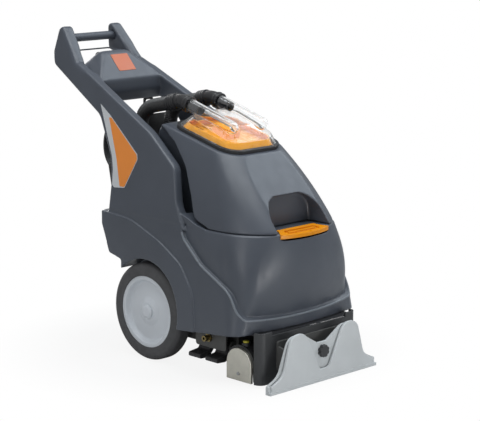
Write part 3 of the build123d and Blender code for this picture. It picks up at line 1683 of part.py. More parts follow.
with BuildPart() as service_panel:
    with BuildSketch(Plane.XZ.offset(service_y)):
        with Locations(((service_rear_x + service_front_x) / 2, (service_low_z + service_top_z) / 2)):
            RectangleRounded(service_front_x - service_rear_x, service_top_z - service_low_z, 8)
        with Locations((coupler_x, coupler_z)):
            Circle(coupler_radius + tank_gap, mode=Mode.SUBTRACT)
    extrude(amount=plate_thickness)
    with BuildSketch(Plane.XY.offset(service_top_z - 14)):
        with Locations((
            (service_rear_x + service_front_x) / 2,
            -(service_y + side_plate_inner + plate_thickness + tank_gap) / 2,
        )):
            Rectangle(
                service_front_x - service_rear_x - 24,
                service_y - side_plate_inner - plate_thickness - tank_gap,
            )
    extrude(amount=plate_thickness)
write(service_panel, "service_panel")

with BuildPart() as brass_coupler:
    with BuildSketch(Plane.XZ.offset(service_y - 8)):
        with Locations((coupler_x, coupler_z)):
            Circle(coupler_radius)
    extrude(amount=coupler_length)
    with BuildSketch(Plane.XZ.offset(service_y + plate_thickness)):
        with Locations((coupler_x, coupler_z)):
            RegularPolygon(coupler_radius + 4, 6)
    extrude(amount=6)
    with BuildSketch(Plane.XZ.offset(service_y - 8)):
        with Locations((coupler_x, coupler_z)):
            Circle(coupler_radius / 2)
    extrude(amount=coupler_length, mode=Mode.SUBTRACT)
write(brass_coupler, "brass_coupler")

with BuildPart() as solution_pump:
    pump_top_z = underside_z - plate_thickness
    with BuildSketch(Plane.XY.offset(pump_top_z)):
        with Locations((pump_x, pump_y)):
            RectangleRounded(pump_head_length, pump_width, 8)
    extrude(amount=-pump_height)
    with BuildSketch(Plane.YZ.offset(pump_x)):
        with Locations((pump_y, pump_top_z - pump_height / 2)):
            Circle(pump_motor_radius)
    extrude(amount=-pump_motor_length)
    for port_y in (-pump_width / 4, pump_width / 4):
        with BuildSketch(Plane.YZ.offset(pump_x)):
            with Locations((pump_y + port_y, pump_top_z - pump_height * 0.6)):
                Circle(pump_port_radius)
                Circle(pump_port_bore, mode=Mode.SUBTRACT)
        extrude(amount=pump_port_length)
write(solution_pump, "solution_pump")

# Button-head screws: end plates, service panel and console panel
screw_places = []
for side in (-1, 1):
    plate_face = Vector(brush_x, side * (housing_half + end_plate_thickness), end_plate_low_z + 20)
    screw_places.append(Plane(origin=plate_face, z_dir=(0, side, 0)))
for screw_x in (service_rear_x + 12, service_front_x - 12):
    screw_places.append(
        Plane(origin=(screw_x, -service_y - plate_thickness, service_top_z - 12), z_dir=(0, -1, 0))
    )
for corner_y in (-1, 1):
    screw_places.append(Plane(
        origin=panel_plane.from_local_coords((corner_y * (panel_width / 2 - 5), 0, panel_thickness)),
        z_dir=panel_plane.z_dir,
    ))
with BuildPart() as housing_screws:
    with BuildSketch(*screw_places):
        Circle(screw_radius)
    extrude(amount=screw_height, taper=20)
write(housing_screws, "housing_screws")
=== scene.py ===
import json
import math

import bpy
import numpy as np
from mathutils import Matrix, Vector
from mathutils.bvhtree import BVHTree


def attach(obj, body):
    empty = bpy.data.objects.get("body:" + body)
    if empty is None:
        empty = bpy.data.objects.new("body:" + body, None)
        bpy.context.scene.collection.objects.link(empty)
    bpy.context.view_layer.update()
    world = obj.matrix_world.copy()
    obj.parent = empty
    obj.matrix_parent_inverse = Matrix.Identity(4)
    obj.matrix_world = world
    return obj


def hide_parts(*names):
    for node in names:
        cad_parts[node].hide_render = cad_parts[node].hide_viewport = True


# Looks for a walk-behind carpet extractor, in metres.
# +X is forward (towards the vacuum shoe), +Y is the machine's left, +Z is up.
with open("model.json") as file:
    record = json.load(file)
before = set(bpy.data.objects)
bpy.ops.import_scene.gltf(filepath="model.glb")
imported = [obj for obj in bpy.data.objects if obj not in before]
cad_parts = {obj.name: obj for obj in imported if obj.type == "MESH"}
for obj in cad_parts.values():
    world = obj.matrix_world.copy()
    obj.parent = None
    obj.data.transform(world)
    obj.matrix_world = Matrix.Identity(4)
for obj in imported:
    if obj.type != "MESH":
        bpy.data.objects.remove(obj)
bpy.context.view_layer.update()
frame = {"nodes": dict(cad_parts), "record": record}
nodes = frame["nodes"]

# Camera: one place and one target, measured from the photograph's perspective
CAMERA_PLACE = Vector((3.4353, -3.2101, 1.3064))
CAMERA_TARGET = Vector((0.1652, 0.0, 0.4140))
CAMERA_LENS_MM = 127.9
CAMERA_REACH = 60.0
SENSOR_MM = 36.0

# Stage: the floor holds a faint shadow near the object and turns plain white over FLOOR_FADE from its middle
FLOOR_HALF = 12.0
FLOOR_Z = -0.0005
FLOOR_GREY = 0.55
FLOOR_ROUGHNESS = 0.9
FLOOR_WHITE_NEAR = 0.88
FLOOR_FADE = (0.35, 0.60)
WORLD_LIGHT = 0.35
PLAIN_LIGHT = (1.0, 1.0, 1.0)
COOL_LIGHT = (0.92, 0.97, 1.0)
BLUE_LIGHT = (0.84, 0.93, 1.0)

# Vacuum hoses: side-view route from the elbow's cuff down into the rear socket
HOSE_Y = 0.056
HOSE_ROUTE_XZ = [
    (-0.0230, 0.7025), (-0.0840, 0.6896), (-0.1480, 0.6760),
    (-0.1780, 0.6380), (-0.1780, 0.5720), (-0.1780, 0.5164),
]
HOSE_RADIUS = 0.020
HOSE_BORE_RADIUS = 0.0145
HOSE_RIB_DEPTH = 0.0030
HOSE_RIB_PITCH = 0.0062
HOSE_CREST_POWER = 0.6
HOSE_PLAIN_END = 0.034
HOSE_SIDES = 40
HOSE_STEPS_PER_RIB = 6
ROUTE_RESOLUTION = 24

# Raised rings round the elbows' cuffs: where a cuff starts and which way it runs (x, z), and rings along it
TUBE_CUFF_XZ, TUBE_CUFF_RUN_XZ = (0.0300, 0.6970), (-0.9613, 0.2756)
HOSE_CUFF_XZ, HOSE_CUFF_RUN_XZ = (-0.0231, 0.7025), (-0.9781, -0.2079)
TUBE_CUFF_RINGS = [0.0022, 0.0120]
HOSE_CUFF_RINGS = [0.0010, 0.0100, 0.0190, 0.0275]
CUFF_RADIUS = 0.0225
CUFF_RING_RADIUS = 0.0019
CUFF_RING_FLATNESS = 0.7
CUFF_RING_STEPS = 48
CUFF_RING_SIDES = 10

# Brush roller: a sleeve on the core, and tufts whose filaments lean, spread and differ a little in length
BRUSH_AXIS_X = 0.3535
BRUSH_AXIS_Z = 0.045
BRUSH_RADIUS = 0.043
BRUSH_CORE_RADIUS = 0.0252
BRUSH_SLEEVE_RADIUS = 0.028
BRUSH_SLEEVE_SIDES = 48
BRUSH_HALF = 0.150
BRUSH_SEED = 7
TUFT_ROWS = 8
TUFTS_PER_ROW = 40
TUFT_TWIST = 0.5
TUFT_SPREAD = 0.0011
FILAMENTS_PER_TUFT = 7
FILAMENT_RADIUS = 0.00035
FILAMENT_TIP_SHARE = 0.6
FILAMENT_SIDES = 3
FILAMENT_SINK = 0.001
FILAMENT_LEAN = (0.2, 0.9)
FILAMENT_SHORTFALL = 0.0012

# Rotomoulded shells: voxel size, share of faces kept, and the smoothing whose rounds set the edge radius
SHELL_VOXEL = 0.0020
SHELL_FACES_KEPT = 0.2
SHELL_ROUND_FACTOR = 0.7
BODY_ROUNDS = 1
RECOVERY_ROUNDS = 12

# The body is moulded in one: how far the arms' feet, the cheeks' feet and the console's sides are let into
# their neighbours
ARM_FOOT_Z = 0.404
ARM_FOOT_DROP = 0.014
ARM_FOOT_FRONT_X = 0.09
ARM_FOOT_PUSH = 0.003
ARM_FOOT_PUSH_Z = (0.50, 0.45)
CONSOLE_GROWTH = 1.02
CHEEK_SEAM_XZ = [(-0.464, 0.803), (-0.444, 0.786), (-0.396, 0.766), (-0.330, 0.830)]
CHEEK_FOOT_HEIGHT = 0.011
CHEEK_FOOT_DROP = 0.014

# Swage line in side view: corners (x, z) with the CAD's radii, and the wider sweep shown at the front corner
SWAGE_XZ = [(0.137, 0.396), (0.150, 0.365), (0.225, 0.305), (0.345, 0.252), (0.389, 0.167), (0.600, 0.167)]
SWAGE_RADII = [0.0, 0.060, 0.090, 0.070, 0.030, 0.0]
SWEEP_RADII = [0.0, 0.060, 0.090, 0.070, 0.075, 0.0]
SWEEP_START_X = 0.34
SWAGE_LEDGE_REACH = 0.002

# Above the swage line the tank's front bulges a little
TANK_DECK_Z = 0.396
BULGE_X = (0.15, 0.30)
BULGE_FORWARD = 0.014
BULGE_SIDEWAYS = 0.035

# Soft places of the shells: rounds of smoothing, and pairs of values between which a place fades in
UPPER_BODY_ROUNDS = 6
UPPER_BODY_Z = (0.40, 0.46)
CORNER_ROUNDS = 240
CORNER_OVER_SWAGE = (0.010, 0.040)
CORNER_Z = (TANK_DECK_Z - 0.006, TANK_DECK_Z - 0.022)
CORNER_X = (0.20, 0.27)
CONSOLE_ROUNDS = 40
CONSOLE_X = (-0.250, -0.270)
CONSOLE_HALF_Y = (0.098, 0.080)
CONSOLE_Z = (0.680, 0.700)
CHEEK_ROUNDS = 45
CHEEK_X = (-0.345, -0.365)
CHEEK_HALF_Y = (0.080, 0.086)
CHEEK_Z = (0.785, 0.805)
CHEEK_TOE_ROUNDS = 120
CHEEK_TOE_XZ = (-0.373, 0.790)
CHEEK_TOE_REACH = (0.055, 0.0275)
SHOULDER_ROUNDS = 160
SHOULDER_X = (0.015, -0.015)
SHOULDER_HALF_Y = (0.080, 0.090)
SHOULDER_Z = (0.560, 0.600)

# Bead along the swage line's ledge: how far it runs on the side and across the front, and its size
BEAD_SIDE_START_X = 0.143
BEAD_SIDE_END_X = 0.372
BEAD_SIDE_STEP = 0.003
BEAD_FRONT_HALF = 0.205
BEAD_FRONT_PLACES = 41
BEAD_RADIUS = 0.0034
BEAD_SINK = 0.0024
BEAD_STEP = 0.004
BEAD_EASING_ROUNDS = 6
BEAD_SIDES = 12

# Right arm's outer face: half-width at the peak and lean, and the bare two-colour panel on it (x, z)
ARM_PEAK_HALF = 0.111
ARM_PEAK_Z = 0.884
ARM_LEAN = 0.178
PANEL_EDGE_XZ = [
    (-0.246, 0.684), (-0.196, 0.655), (-0.066, 0.562), (-0.062, 0.548), (-0.102, 0.466), (-0.146, 0.462),
    (-0.155, 0.468), (-0.160, 0.512), (-0.170, 0.545),
]
PANEL_FACE_XZ = [
    (-0.202, 0.650), (-0.192, 0.650), (-0.068, 0.560), (-0.064, 0.548), (-0.103, 0.468), (-0.123, 0.468),
    (-0.150, 0.542),
]
PANEL_FILM = 0.0004
PANEL_CORNER = 0.004

# Bare plate on the console's sloping face: that face's top and foot (x, z), then the plate's place and size
CONSOLE_TOP_XZ = (-0.352, 0.817)
CONSOLE_KNEE_XZ = (-0.281, 0.742)
PLATE_Y = 0.003
PLATE_DOWN = 0.045
PLATE_WIDTH = 0.063
PLATE_LENGTH = 0.060
PLATE_FILM = 0.0008
PLATE_CORNER = 0.003

# Cover over the brush deck, between the front apron and the tank's lip: plan (x, y), height and thickness
DECK_COVER_XY = [(0.340, -0.179), (0.4225, -0.179), (0.4225, 0.179), (0.340, 0.179)]
DECK_COVER_Z = 0.1378
DECK_COVER_FILM = 0.0015
DECK_COVER_CORNER = 0.014

# Moulded plastic: scales of its noise, how far its roughness strays, and the least share of wear on its edges
PLASTIC_IOR = 1.49
CLOUD_SCALE = 9.0
PLASTIC_GLOSS_SCALE = 35.0
PLASTIC_GLOSS_STRAY = (-0.05, 0.07)
WEAR_SCALE = 60.0
WEAR_LEAST_SHARE = 0.3

# Bare metal
POLISH_SCALE = 40.0
METAL_DULLEST = 0.88
METAL_GLOSS_STRAY = (-0.07, 0.10)

# Rubber
DUST_SCALE = 14.0
DUST_SPAN = (0.35, 0.75)
RUBBER_DARKEST, RUBBER_PALEST = 0.90, 1.16
RUBBER_GLOSS_SCALE = 90.0
RUBBER_GLOSS_STRAY = (-0.10, 0.10)

# Clear plastic: its flow lines, and a haze that fades in where it is seen at a slant
CLEAR_TINT = (0.97, 0.98, 0.985, 1.0)
CLEAR_IOR = 1.38
CLEAR_GLOSS_SCALE = 55.0
CLEAR_ROUGHNESS = (0.01, 0.07)
CLEAR_FLOW_SCALE = 30.0
CLEAR_FLOW_STRETCH = (1, 1, 3)
CLEAR_FLOW_DEPTH = 0.0004
HAZE_TINT = (0.95, 0.95, 0.95, 1.0)
HAZE_MOST = 0.14
HAZE_SLANT = (0.30, 0.75)

# Edges of the finishes, painted shade in their recesses and seams, and the crease angle under which faces are
# shaded smooth
EDGE_SAMPLES = 4
EDGE_FACING = (0.75, 0.99)
PAINTED_SHADE_SAMPLES = 8
PAINTED_SHADE_FADE_X = 0.08
SMOOTH_ANGLE = math.radians(32)


def linear(hex_colour):
    """Linear colour of a six-digit screen colour."""
    parts = [int(hex_colour[i:i + 2], 16) / 255 for i in (0, 2, 4)]
    return [p / 12.92 if p <= 0.04045 else ((p + 0.055) / 1.055) ** 2.4 for p in parts] + [1.0]


SLATE = linear("494e57")
# Painted shade: the colour the slate darkens to in its recesses and seams
SLATE_PAINTED_SHADE = linear("2a2a2c")
# Painted highlight: a paler slate for the swage bead
SLATE_PAINTED_HIGHLIGHT = linear("6d737b")
BLACK = linear("2e2e30")
GRAPHITE = linear("4e4e4d")
APRON_BLACK = linear("38393b")
ELBOW_BLACK = linear("2a2a2c")
HOSE_BLACK = linear("38383a")
# Painted shade: the colour the hose darkens to between its ribs
HOSE_PAINTED_SHADE = linear("060606")
HUB_GREY = linear("cacfd5")
SHOE_GREY = linear("c1c5c7")
TYRE_GREY = linear("474749")
ORANGE = linear("dd8a00")
# The tray's own orange, made brighter as painted light for the light that the clear dome keeps off it
TRAY_ORANGE_PAINTED_LIGHT = linear("f5a512")
PLATE_ORANGE = linear("bb6440")
DECAL_ORANGE = linear("e68a38")
DECAL_SILVER = linear("c3c6c9")
YELLOW = linear("d9cd45")
BRASS = linear("94845a")
STEEL = linear("b9babb")
ALUMINIUM = linear("e4e1d6")
WHITE = linear("e6e6e3")


# Numbers and lines

def share(value, start, end):
    """How far a value is from a start to an end, kept between 0 and 1."""
    return min(max((value - start) / (end - start), 0.0), 1.0)


def turns(count):
    """Evenly spaced angles of one full turn."""
    return [2 * math.pi * k / count for k in range(count)]


def rounded_line(points, radii, steps=8):
    """An open side-view line with true arcs at its corners."""
    line = [Vector(points[0])]
    for before, corner, after, radius in zip(points, points[1:], points[2:], radii[1:]):
        before, corner, after = Vector(before), Vector(corner), Vector(after)
        back, on = (before - corner).normalized(), (after - corner).normalized()
        half = back.angle(on) / 2
        centre = corner + (back + on).normalized() * radius / math.sin(half)
        start = corner + back * radius / math.tan(half) - centre
        turn = start.angle_signed(corner + on * radius / math.tan(half) - centre)
        for i in range(steps + 1):
            angle = -turn * i / steps
            line.append(centre + Vector((
                start.x * math.cos(angle) - start.y * math.sin(angle),
                start.x * math.sin(angle) + start.y * math.cos(angle),
            )))
    return line + [Vector(points[-1])]


def rounded_outline(points, radius, steps=6):
    """A closed outline with its corners rounded by short curves."""
    outline = []
    points = [Vector(p) for p in points]
    for before, corner, after in zip(points[-1:] + points[:-1], points, points[1:] + points[:1]):
        start = corner + (before - corner).normalized() * min(radius, (before - corner).length / 2)
        end = corner + (after - corner).normalized() * min(radius, (after - corner).length / 2)
        for i in range(steps + 1):
            t = i / steps
            outline.append((1 - t) ** 2 * start + 2 * t * (1 - t) * corner + t * t * end)
    return outline


def evenly(line, step):
    """The same line with evenly spaced points, and the distance along it at each."""
    along = np.concatenate([[0], np.cumsum(np.linalg.norm(np.diff(line, axis=0), axis=1))])
    at = np.linspace(0, along[-1], round(along[-1] / step) + 1)
    return np.stack([np.interp(at, along, line[:, k]) for k in range(3)], axis=1), at


def directions(line):
    """A line's unit direction at each of its points."""
    way = np.gradient(line, axis=0)
    return way / np.linalg.norm(way, axis=1)[:, None]


def ring_faces(rings, sides):
    """Quads that join rings of points into one closed loop of rings."""
    faces = []
    for r in range(rings):
        here, there = r * sides, ((r + 1) % rings) * sides
        for s in range(sides):
            after = (s + 1) % sides
            faces.append((here + s, here + after, there + after, there + s))
    return faces


# Shader building blocks

def new_material(name):
    """A node material, with its node tree and its main shader."""
    material = bpy.data.materials.new(name)
    material.use_nodes = True
    tree = material.node_tree
    return material, tree, tree.nodes["Principled BSDF"]


def noise(tree, scale, detail=4.0, stretch=(1, 1, 1)):
    """Noise in the object's own space, as a number from 0 to 1."""
    coords = tree.nodes.new("ShaderNodeTexCoord")
    mapping = tree.nodes.new("ShaderNodeMapping")
    mapping.inputs["Scale"].default_value = stretch
    texture = tree.nodes.new("ShaderNodeTexNoise")
    texture.inputs["Scale"].default_value = scale
    texture.inputs["Detail"].default_value = detail
    tree.links.new(coords.outputs["Object"], mapping.inputs["Vector"])
    tree.links.new(mapping.outputs["Vector"], texture.inputs["Vector"])
    return texture.outputs["Fac"]


def spread(tree, value, low, high, start=0.3, end=0.7):
    """A number moved from one range to another."""
    node = tree.nodes.new("ShaderNodeMapRange")
    node.inputs["From Min"].default_value = start
    node.inputs["From Max"].default_value = end
    node.inputs["To Min"].default_value = low
    node.inputs["To Max"].default_value = high
    tree.links.new(value, node.inputs["Value"])
    return node.outputs["Result"]


def combine(tree, operation, first, second):
    """One number worked out from two."""
    node = tree.nodes.new("ShaderNodeMath")
    node.operation = operation
    tree.links.new(first, node.inputs[0])
    tree.links.new(second, node.inputs[1])
    return node.outputs[0]


def mix(tree, factor, first, second):
    """A colour between two colours."""
    node = tree.nodes.new("ShaderNodeMix")
    node.data_type = "RGBA"
    tree.links.new(factor, node.inputs["Factor"])
    for socket, colour in ((node.inputs["A"], first), (node.inputs["B"], second)):
        if isinstance(colour, bpy.types.NodeSocket):
            tree.links.new(colour, socket)
        else:
            socket.default_value = colour
    return node.outputs["Result"]


def show_blend(tree, factor, first, second, output):
    """Shows a blend of two shaders at a tree's output."""
    node = tree.nodes.new("ShaderNodeMixShader")
    tree.links.new(factor, node.inputs["Fac"])
    tree.links.new(first, node.inputs[1])
    tree.links.new(second, node.inputs[2])
    tree.links.new(node.outputs["Shader"], tree.nodes[output].inputs["Surface"])


def seen_by_camera(tree):
    """1 for what is seen directly or through clear plastic, and 0 for reflections and light on the object."""
    rays = tree.nodes.new("ShaderNodeLightPath")
    return combine(tree, "MAXIMUM", rays.outputs["Is Camera Ray"], rays.outputs["Is Transmission Ray"])


def shade(colour, factor):
    """A colour made darker or lighter."""
    return [min(1.0, c * factor) for c in colour[:3]] + [1.0]


def edges(tree, radius):
    """Rounded normals at hard edges, and a mask that is 1 on those edges."""
    bevel = tree.nodes.new("ShaderNodeBevel")
    bevel.samples = EDGE_SAMPLES
    bevel.inputs["Radius"].default_value = radius
    geometry = tree.nodes.new("ShaderNodeNewGeometry")
    dot = tree.nodes.new("ShaderNodeVectorMath")
    dot.operation = "DOT_PRODUCT"
    tree.links.new(bevel.outputs["Normal"], dot.inputs[0])
    tree.links.new(geometry.outputs["Normal"], dot.inputs[1])
    return bevel.outputs["Normal"], spread(tree, dot.outputs["Value"], 1.0, 0.0, *EDGE_FACING)


def openness(tree, reach, span, from_x):
    """1 on open faces, falling towards 0 in recesses and seams, but only ahead of from_x if that is given; it
    says where the painted shade goes.
    """
    occlusion = tree.nodes.new("ShaderNodeAmbientOcclusion")
    occlusion.samples = PAINTED_SHADE_SAMPLES
    occlusion.inputs["Distance"].default_value = reach
    open_share = spread(tree, occlusion.outputs["AO"], 0.0, 1.0, *span)
    if from_x is None:
        return open_share
    coords = tree.nodes.new("ShaderNodeTexCoord")
    axes = tree.nodes.new("ShaderNodeSeparateXYZ")
    tree.links.new(coords.outputs["Object"], axes.inputs["Vector"])
    behind = spread(tree, axes.outputs["X"], 1.0, 0.0, from_x, from_x + PAINTED_SHADE_FADE_X)
    return combine(tree, "MAXIMUM", open_share, behind)


def bump(tree, height, distance, normal=None):
    """A bumped normal from a height."""
    node = tree.nodes.new("ShaderNodeBump")
    node.inputs["Distance"].default_value = distance
    tree.links.new(height, node.inputs["Height"])
    if normal is not None:
        tree.links.new(normal, node.inputs["Normal"])
    return node.outputs["Normal"]


def set_roughness(tree, shader, pattern, roughness, stray):
    """Roughness that strays a little from its value, by a pattern."""
    below, above = stray
    tree.links.new(spread(tree, pattern, roughness + below, roughness + above), shader.inputs["Roughness"])


# Finishes

def moulded(name, colour, roughness=0.45, grain=900.0, grain_depth=0.00006, edge=0.0015, wear=0.12,
            cloud=0.06, specular=0.5, painted_shade=None, painted_shade_reach=0.06, painted_shade_span=(0.1, 0.5), painted_shade_from_x=None):
    """Moulded plastic: faint clouding, fine grain, paler rubbed edges and, if given, painted shade: a darker
    colour in recesses.

    Recesses for the painted shade are looked for within the given reach and, if a place on the X axis is
    given, only ahead of it.
    """
    material, tree, shader = new_material(name)
    clouds = spread(tree, noise(tree, CLOUD_SCALE), 0.0, 1.0)
    base = mix(tree, clouds, shade(colour, 1 - cloud), shade(colour, 1 + cloud))
    normal, mask = edges(tree, edge)
    rubbed = spread(tree, noise(tree, WEAR_SCALE), WEAR_LEAST_SHARE * wear, wear)
    pale = [0.5 + 0.5 * c for c in colour[:3]] + [1.0]
    finish = mix(tree, combine(tree, "MULTIPLY", mask, rubbed), base, pale)
    # Painted shade: the colour darkens towards the shade colour in recesses and seams
    if painted_shade is not None:
        finish = mix(tree, openness(tree, painted_shade_reach, painted_shade_span, painted_shade_from_x), painted_shade, finish)
    tree.links.new(finish, shader.inputs["Base Color"])
    set_roughness(tree, shader, noise(tree, PLASTIC_GLOSS_SCALE), roughness, PLASTIC_GLOSS_STRAY)
    tree.links.new(bump(tree, noise(tree, grain, 2.0), grain_depth, normal), shader.inputs["Normal"])
    shader.inputs["IOR"].default_value = PLASTIC_IOR
    shader.inputs["Specular IOR Level"].default_value = specular
    return material


def metal(name, colour, roughness=0.28, brush=(1, 1, 1), brush_scale=400.0, depth=0.00002, edge=0.0006):
    """Bare metal with fine brush lines and uneven polish."""
    material, tree, shader = new_material(name)
    lines = noise(tree, brush_scale, 3.0, brush)
    polish = spread(tree, noise(tree, POLISH_SCALE), 0.0, 1.0)
    tree.links.new(mix(tree, polish, shade(colour, METAL_DULLEST), colour), shader.inputs["Base Color"])
    set_roughness(tree, shader, lines, roughness, METAL_GLOSS_STRAY)
    normal, _ = edges(tree, edge)
    tree.links.new(bump(tree, lines, depth, normal), shader.inputs["Normal"])
    shader.inputs["Metallic"].default_value = 1.0
    return material


def clear_plastic(name):
    """Clear moulded plastic with faint flow lines and a little haze where it is seen at a slant."""
    material, tree, shader = new_material(name)
    shader.inputs["Base Color"].default_value = CLEAR_TINT
    shader.inputs["Transmission Weight"].default_value = 1.0
    shader.inputs["IOR"].default_value = CLEAR_IOR
    set_roughness(tree, shader, noise(tree, CLEAR_GLOSS_SCALE), 0.0, CLEAR_ROUGHNESS)
    flow = noise(tree, CLEAR_FLOW_SCALE, 1.0, CLEAR_FLOW_STRETCH)
    tree.links.new(bump(tree, flow, CLEAR_FLOW_DEPTH), shader.inputs["Normal"])
    haze = tree.nodes.new("ShaderNodeBsdfDiffuse")
    haze.inputs["Color"].default_value = HAZE_TINT
    slant = tree.nodes.new("ShaderNodeLayerWeight")
    haze_share = spread(tree, slant.outputs["Facing"], 0.0, HAZE_MOST, *HAZE_SLANT)
    show_blend(tree, haze_share, shader.outputs["BSDF"], haze.outputs["BSDF"], "Material Output")
    return material


def rubber(name, colour, roughness=0.7, grain=500.0, grain_depth=0.00012, edge=0.002):
    """Rubber with dusty patches and a soft grain."""
    material, tree, shader = new_material(name)
    dust = spread(tree, noise(tree, DUST_SCALE, 6.0), 0.0, 1.0, *DUST_SPAN)
    dusty = mix(tree, dust, shade(colour, RUBBER_DARKEST), shade(colour, RUBBER_PALEST))
    tree.links.new(dusty, shader.inputs["Base Color"])
    set_roughness(tree, shader, noise(tree, RUBBER_GLOSS_SCALE), roughness, RUBBER_GLOSS_STRAY)
    normal, _ = edges(tree, edge)
    tree.links.new(bump(tree, noise(tree, grain, 3.0), grain_depth, normal), shader.inputs["Normal"])
    return material


MATERIALS = {
    # The slate carries painted shade in its recesses and seams towards the front
    "slate_plastic": moulded("moulded slate", SLATE, 0.34, edge=0.002, wear=0.15, painted_shade=SLATE_PAINTED_SHADE,
                             painted_shade_from_x=0.2),
    "black_plastic": moulded("moulded black", BLACK, 0.4),
    "grey_plastic": moulded("moulded pale grey", HUB_GREY, 0.4, edge=0.002),
    "shoe_plastic": moulded("shoe grey", SHOE_GREY, 0.38, wear=0.25),
    "orange_plastic": moulded("moulded orange", ORANGE, 0.3, specular=0.25),
    "clear_plastic": clear_plastic("clear dome"),
    "float_plastic": moulded("float white", WHITE, 0.35),
    "black_rubber": rubber("black rubber", BLACK),
    # The ribbed hose carries painted shade between its ribs
    "hose_plastic": moulded("ribbed hose black", HOSE_BLACK, 0.4, wear=0.05, painted_shade=HOSE_PAINTED_SHADE,
                            painted_shade_reach=0.006, painted_shade_span=(0.5, 0.95)),
    "grey_tyre": rubber("grey tyre", TYRE_GREY, 0.62),
    "bright_steel": metal("bright steel", STEEL),
    "black_painted_steel": moulded("black powder coat", GRAPHITE, 0.5, grain=1400.0, grain_depth=0.0001),
    "grip_paint": moulded("slate powder coat", SLATE, 0.45, grain=1400.0, grain_depth=0.0001),
    "bail_paint": moulded("coated wire", SLATE, 0.4),
    "plate_metal": metal("satin plate", ALUMINIUM, 0.5, (1, 1, 12)),
    "brass": metal("machined brass", BRASS, 0.3),
    "yellow_plastic": moulded("moulded yellow", YELLOW, 0.3),
    "bristle_nylon": moulded("nylon filament", GRAPHITE, 0.4),
    "motor_casing": moulded("dark casing", GRAPHITE, 0.45),
}
ELBOW_FINISH = moulded("glossy black", ELBOW_BLACK, 0.3, wear=0.05)
OWN_FINISH = {
    # The tray's brighter orange is painted light
    "filter_tray": moulded("orange tray with painted light", TRAY_ORANGE_PAINTED_LIGHT, 0.25, specular=0.3),
    "front_apron": moulded("apron black", APRON_BLACK, 0.45),
    "right_elbow": ELBOW_FINISH,
    "left_elbow": ELBOW_FINISH,
}


# Pieces

def smooth(mesh):
    """Smooth shading with creases kept."""
    mesh.shade_smooth()
    mesh.set_sharp_from_angle(angle=SMOOTH_ANGLE)


def paint(obj, material):
    """Gives a piece one finish all over."""
    obj.data.materials.clear()
    obj.data.materials.append(material)


def new_piece(name, verts, faces, body, slot, material=None):
    """A mesh piece that rides on a body and has a slot's finish, or one of its own."""
    mesh = bpy.data.meshes.new(name)
    mesh.from_pydata([tuple(v) for v in verts], [], faces)
    mesh.validate()
    piece = bpy.data.objects.new(name, mesh)
    bpy.context.scene.collection.objects.link(piece)
    smooth(mesh)
    paint(piece, material or MATERIALS[slot])
    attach(piece, body)
    return piece


SLOT_OF = {row["node"]: row["material_slot"] for row in frame["record"]["subparts"]}
BODY_OF = {
    node_name: body
    for body, members in frame["record"]["behaviour"]["bodies"].items() for node_name in members
}
for node_name, node in nodes.items():
    smooth(node.data)
    paint(node, OWN_FINISH.get(node_name, MATERIALS[SLOT_OF[node_name]]))


# Rotomoulded shells: copies of the CAD shells, let into each other, drawn out and rounded

cad_swage = list(zip(*rounded_line(SWAGE_XZ, SWAGE_RADII)))
shown_swage = list(zip(*rounded_line(SWAGE_XZ, SWEEP_RADII)))


def swage_height(x):
    """Height of the swage line as shown."""
    return float(np.interp(x, *shown_swage))


def seat_arm(co):
    """Lets an arm's foot into the tank below it and a little forward."""
    if co.x > ARM_FOOT_FRONT_X:
        co.x += ARM_FOOT_PUSH * share(co.z, *ARM_FOOT_PUSH_Z)
    if co.z < ARM_FOOT_Z:
        co.z -= ARM_FOOT_DROP


def seat_cheek(co):
    """Lets a handle cheek's foot into the leaning arm below it."""
    if co.x > CHEEK_SEAM_XZ[0][0] and co.z - np.interp(co.x, *zip(*CHEEK_SEAM_XZ)) < CHEEK_FOOT_HEIGHT:
        co.z -= CHEEK_FOOT_DROP
        co.y += math.copysign(ARM_LEAN * CHEEK_FOOT_DROP, co.y)


def widen_console(co):
    """Lets the console's sides into the arms."""
    co.y *= CONSOLE_GROWTH


def draw_out_tank(co):
    """Sweeps the swage ledge wider at the front corner and bulges the tank above it."""
    if co.x > SWEEP_START_X and abs(co.z - np.interp(co.x, *cad_swage)) < SWAGE_LEDGE_REACH:
        co.z += np.interp(co.x, *shown_swage) - np.interp(co.x, *cad_swage)
    low_z = swage_height(co.x)
    if low_z < TANK_DECK_Z:
        bulge = math.sin(math.pi * share(co.z, low_z, TANK_DECK_Z)) * share(co.x, *BULGE_X)
        co.x += BULGE_FORWARD * bulge
        co.y *= 1 + BULGE_SIDEWAYS * bulge


SHAPED_BY = {
    "right_arm": seat_arm, "left_arm": seat_arm,
    "right_handle_cheek": seat_cheek, "left_handle_cheek": seat_cheek,
    "console_housing": widen_console, "lower_tank": draw_out_tank,
}


def shaped(node_name):
    """A node's points as its shell shows them, and its faces."""
    mesh = nodes[node_name].data
    verts = [vertex.co.copy() for vertex in mesh.vertices]
    if node_name in SHAPED_BY:
        for co in verts:
            SHAPED_BY[node_name](co)
    return verts, [tuple(face.vertices) for face in mesh.polygons]


def upper_share(co):
    """1 on the arms and console, and 0 on the tank."""
    return share(co.z, *UPPER_BODY_Z)


def corner_share(co):
    """1 on the tank's front corners, and 0 near the swage line, near the deck and away from the front."""
    above = share(co.z - swage_height(co.x), *CORNER_OVER_SWAGE)
    return above * share(co.z, *CORNER_Z) * share(co.x, *CORNER_X)


def console_share(co):
    """1 on the console between the arms, and 0 elsewhere."""
    return share(abs(co.y), *CONSOLE_HALF_Y) * share(co.x, *CONSOLE_X) * share(co.z, *CONSOLE_Z)


def cheek_share(co):
    """1 on the handle cheeks, and 0 on the arms and console."""
    return share(co.z, *CHEEK_Z) * share(co.x, *CHEEK_X) * share(abs(co.y), *CHEEK_HALF_Y)


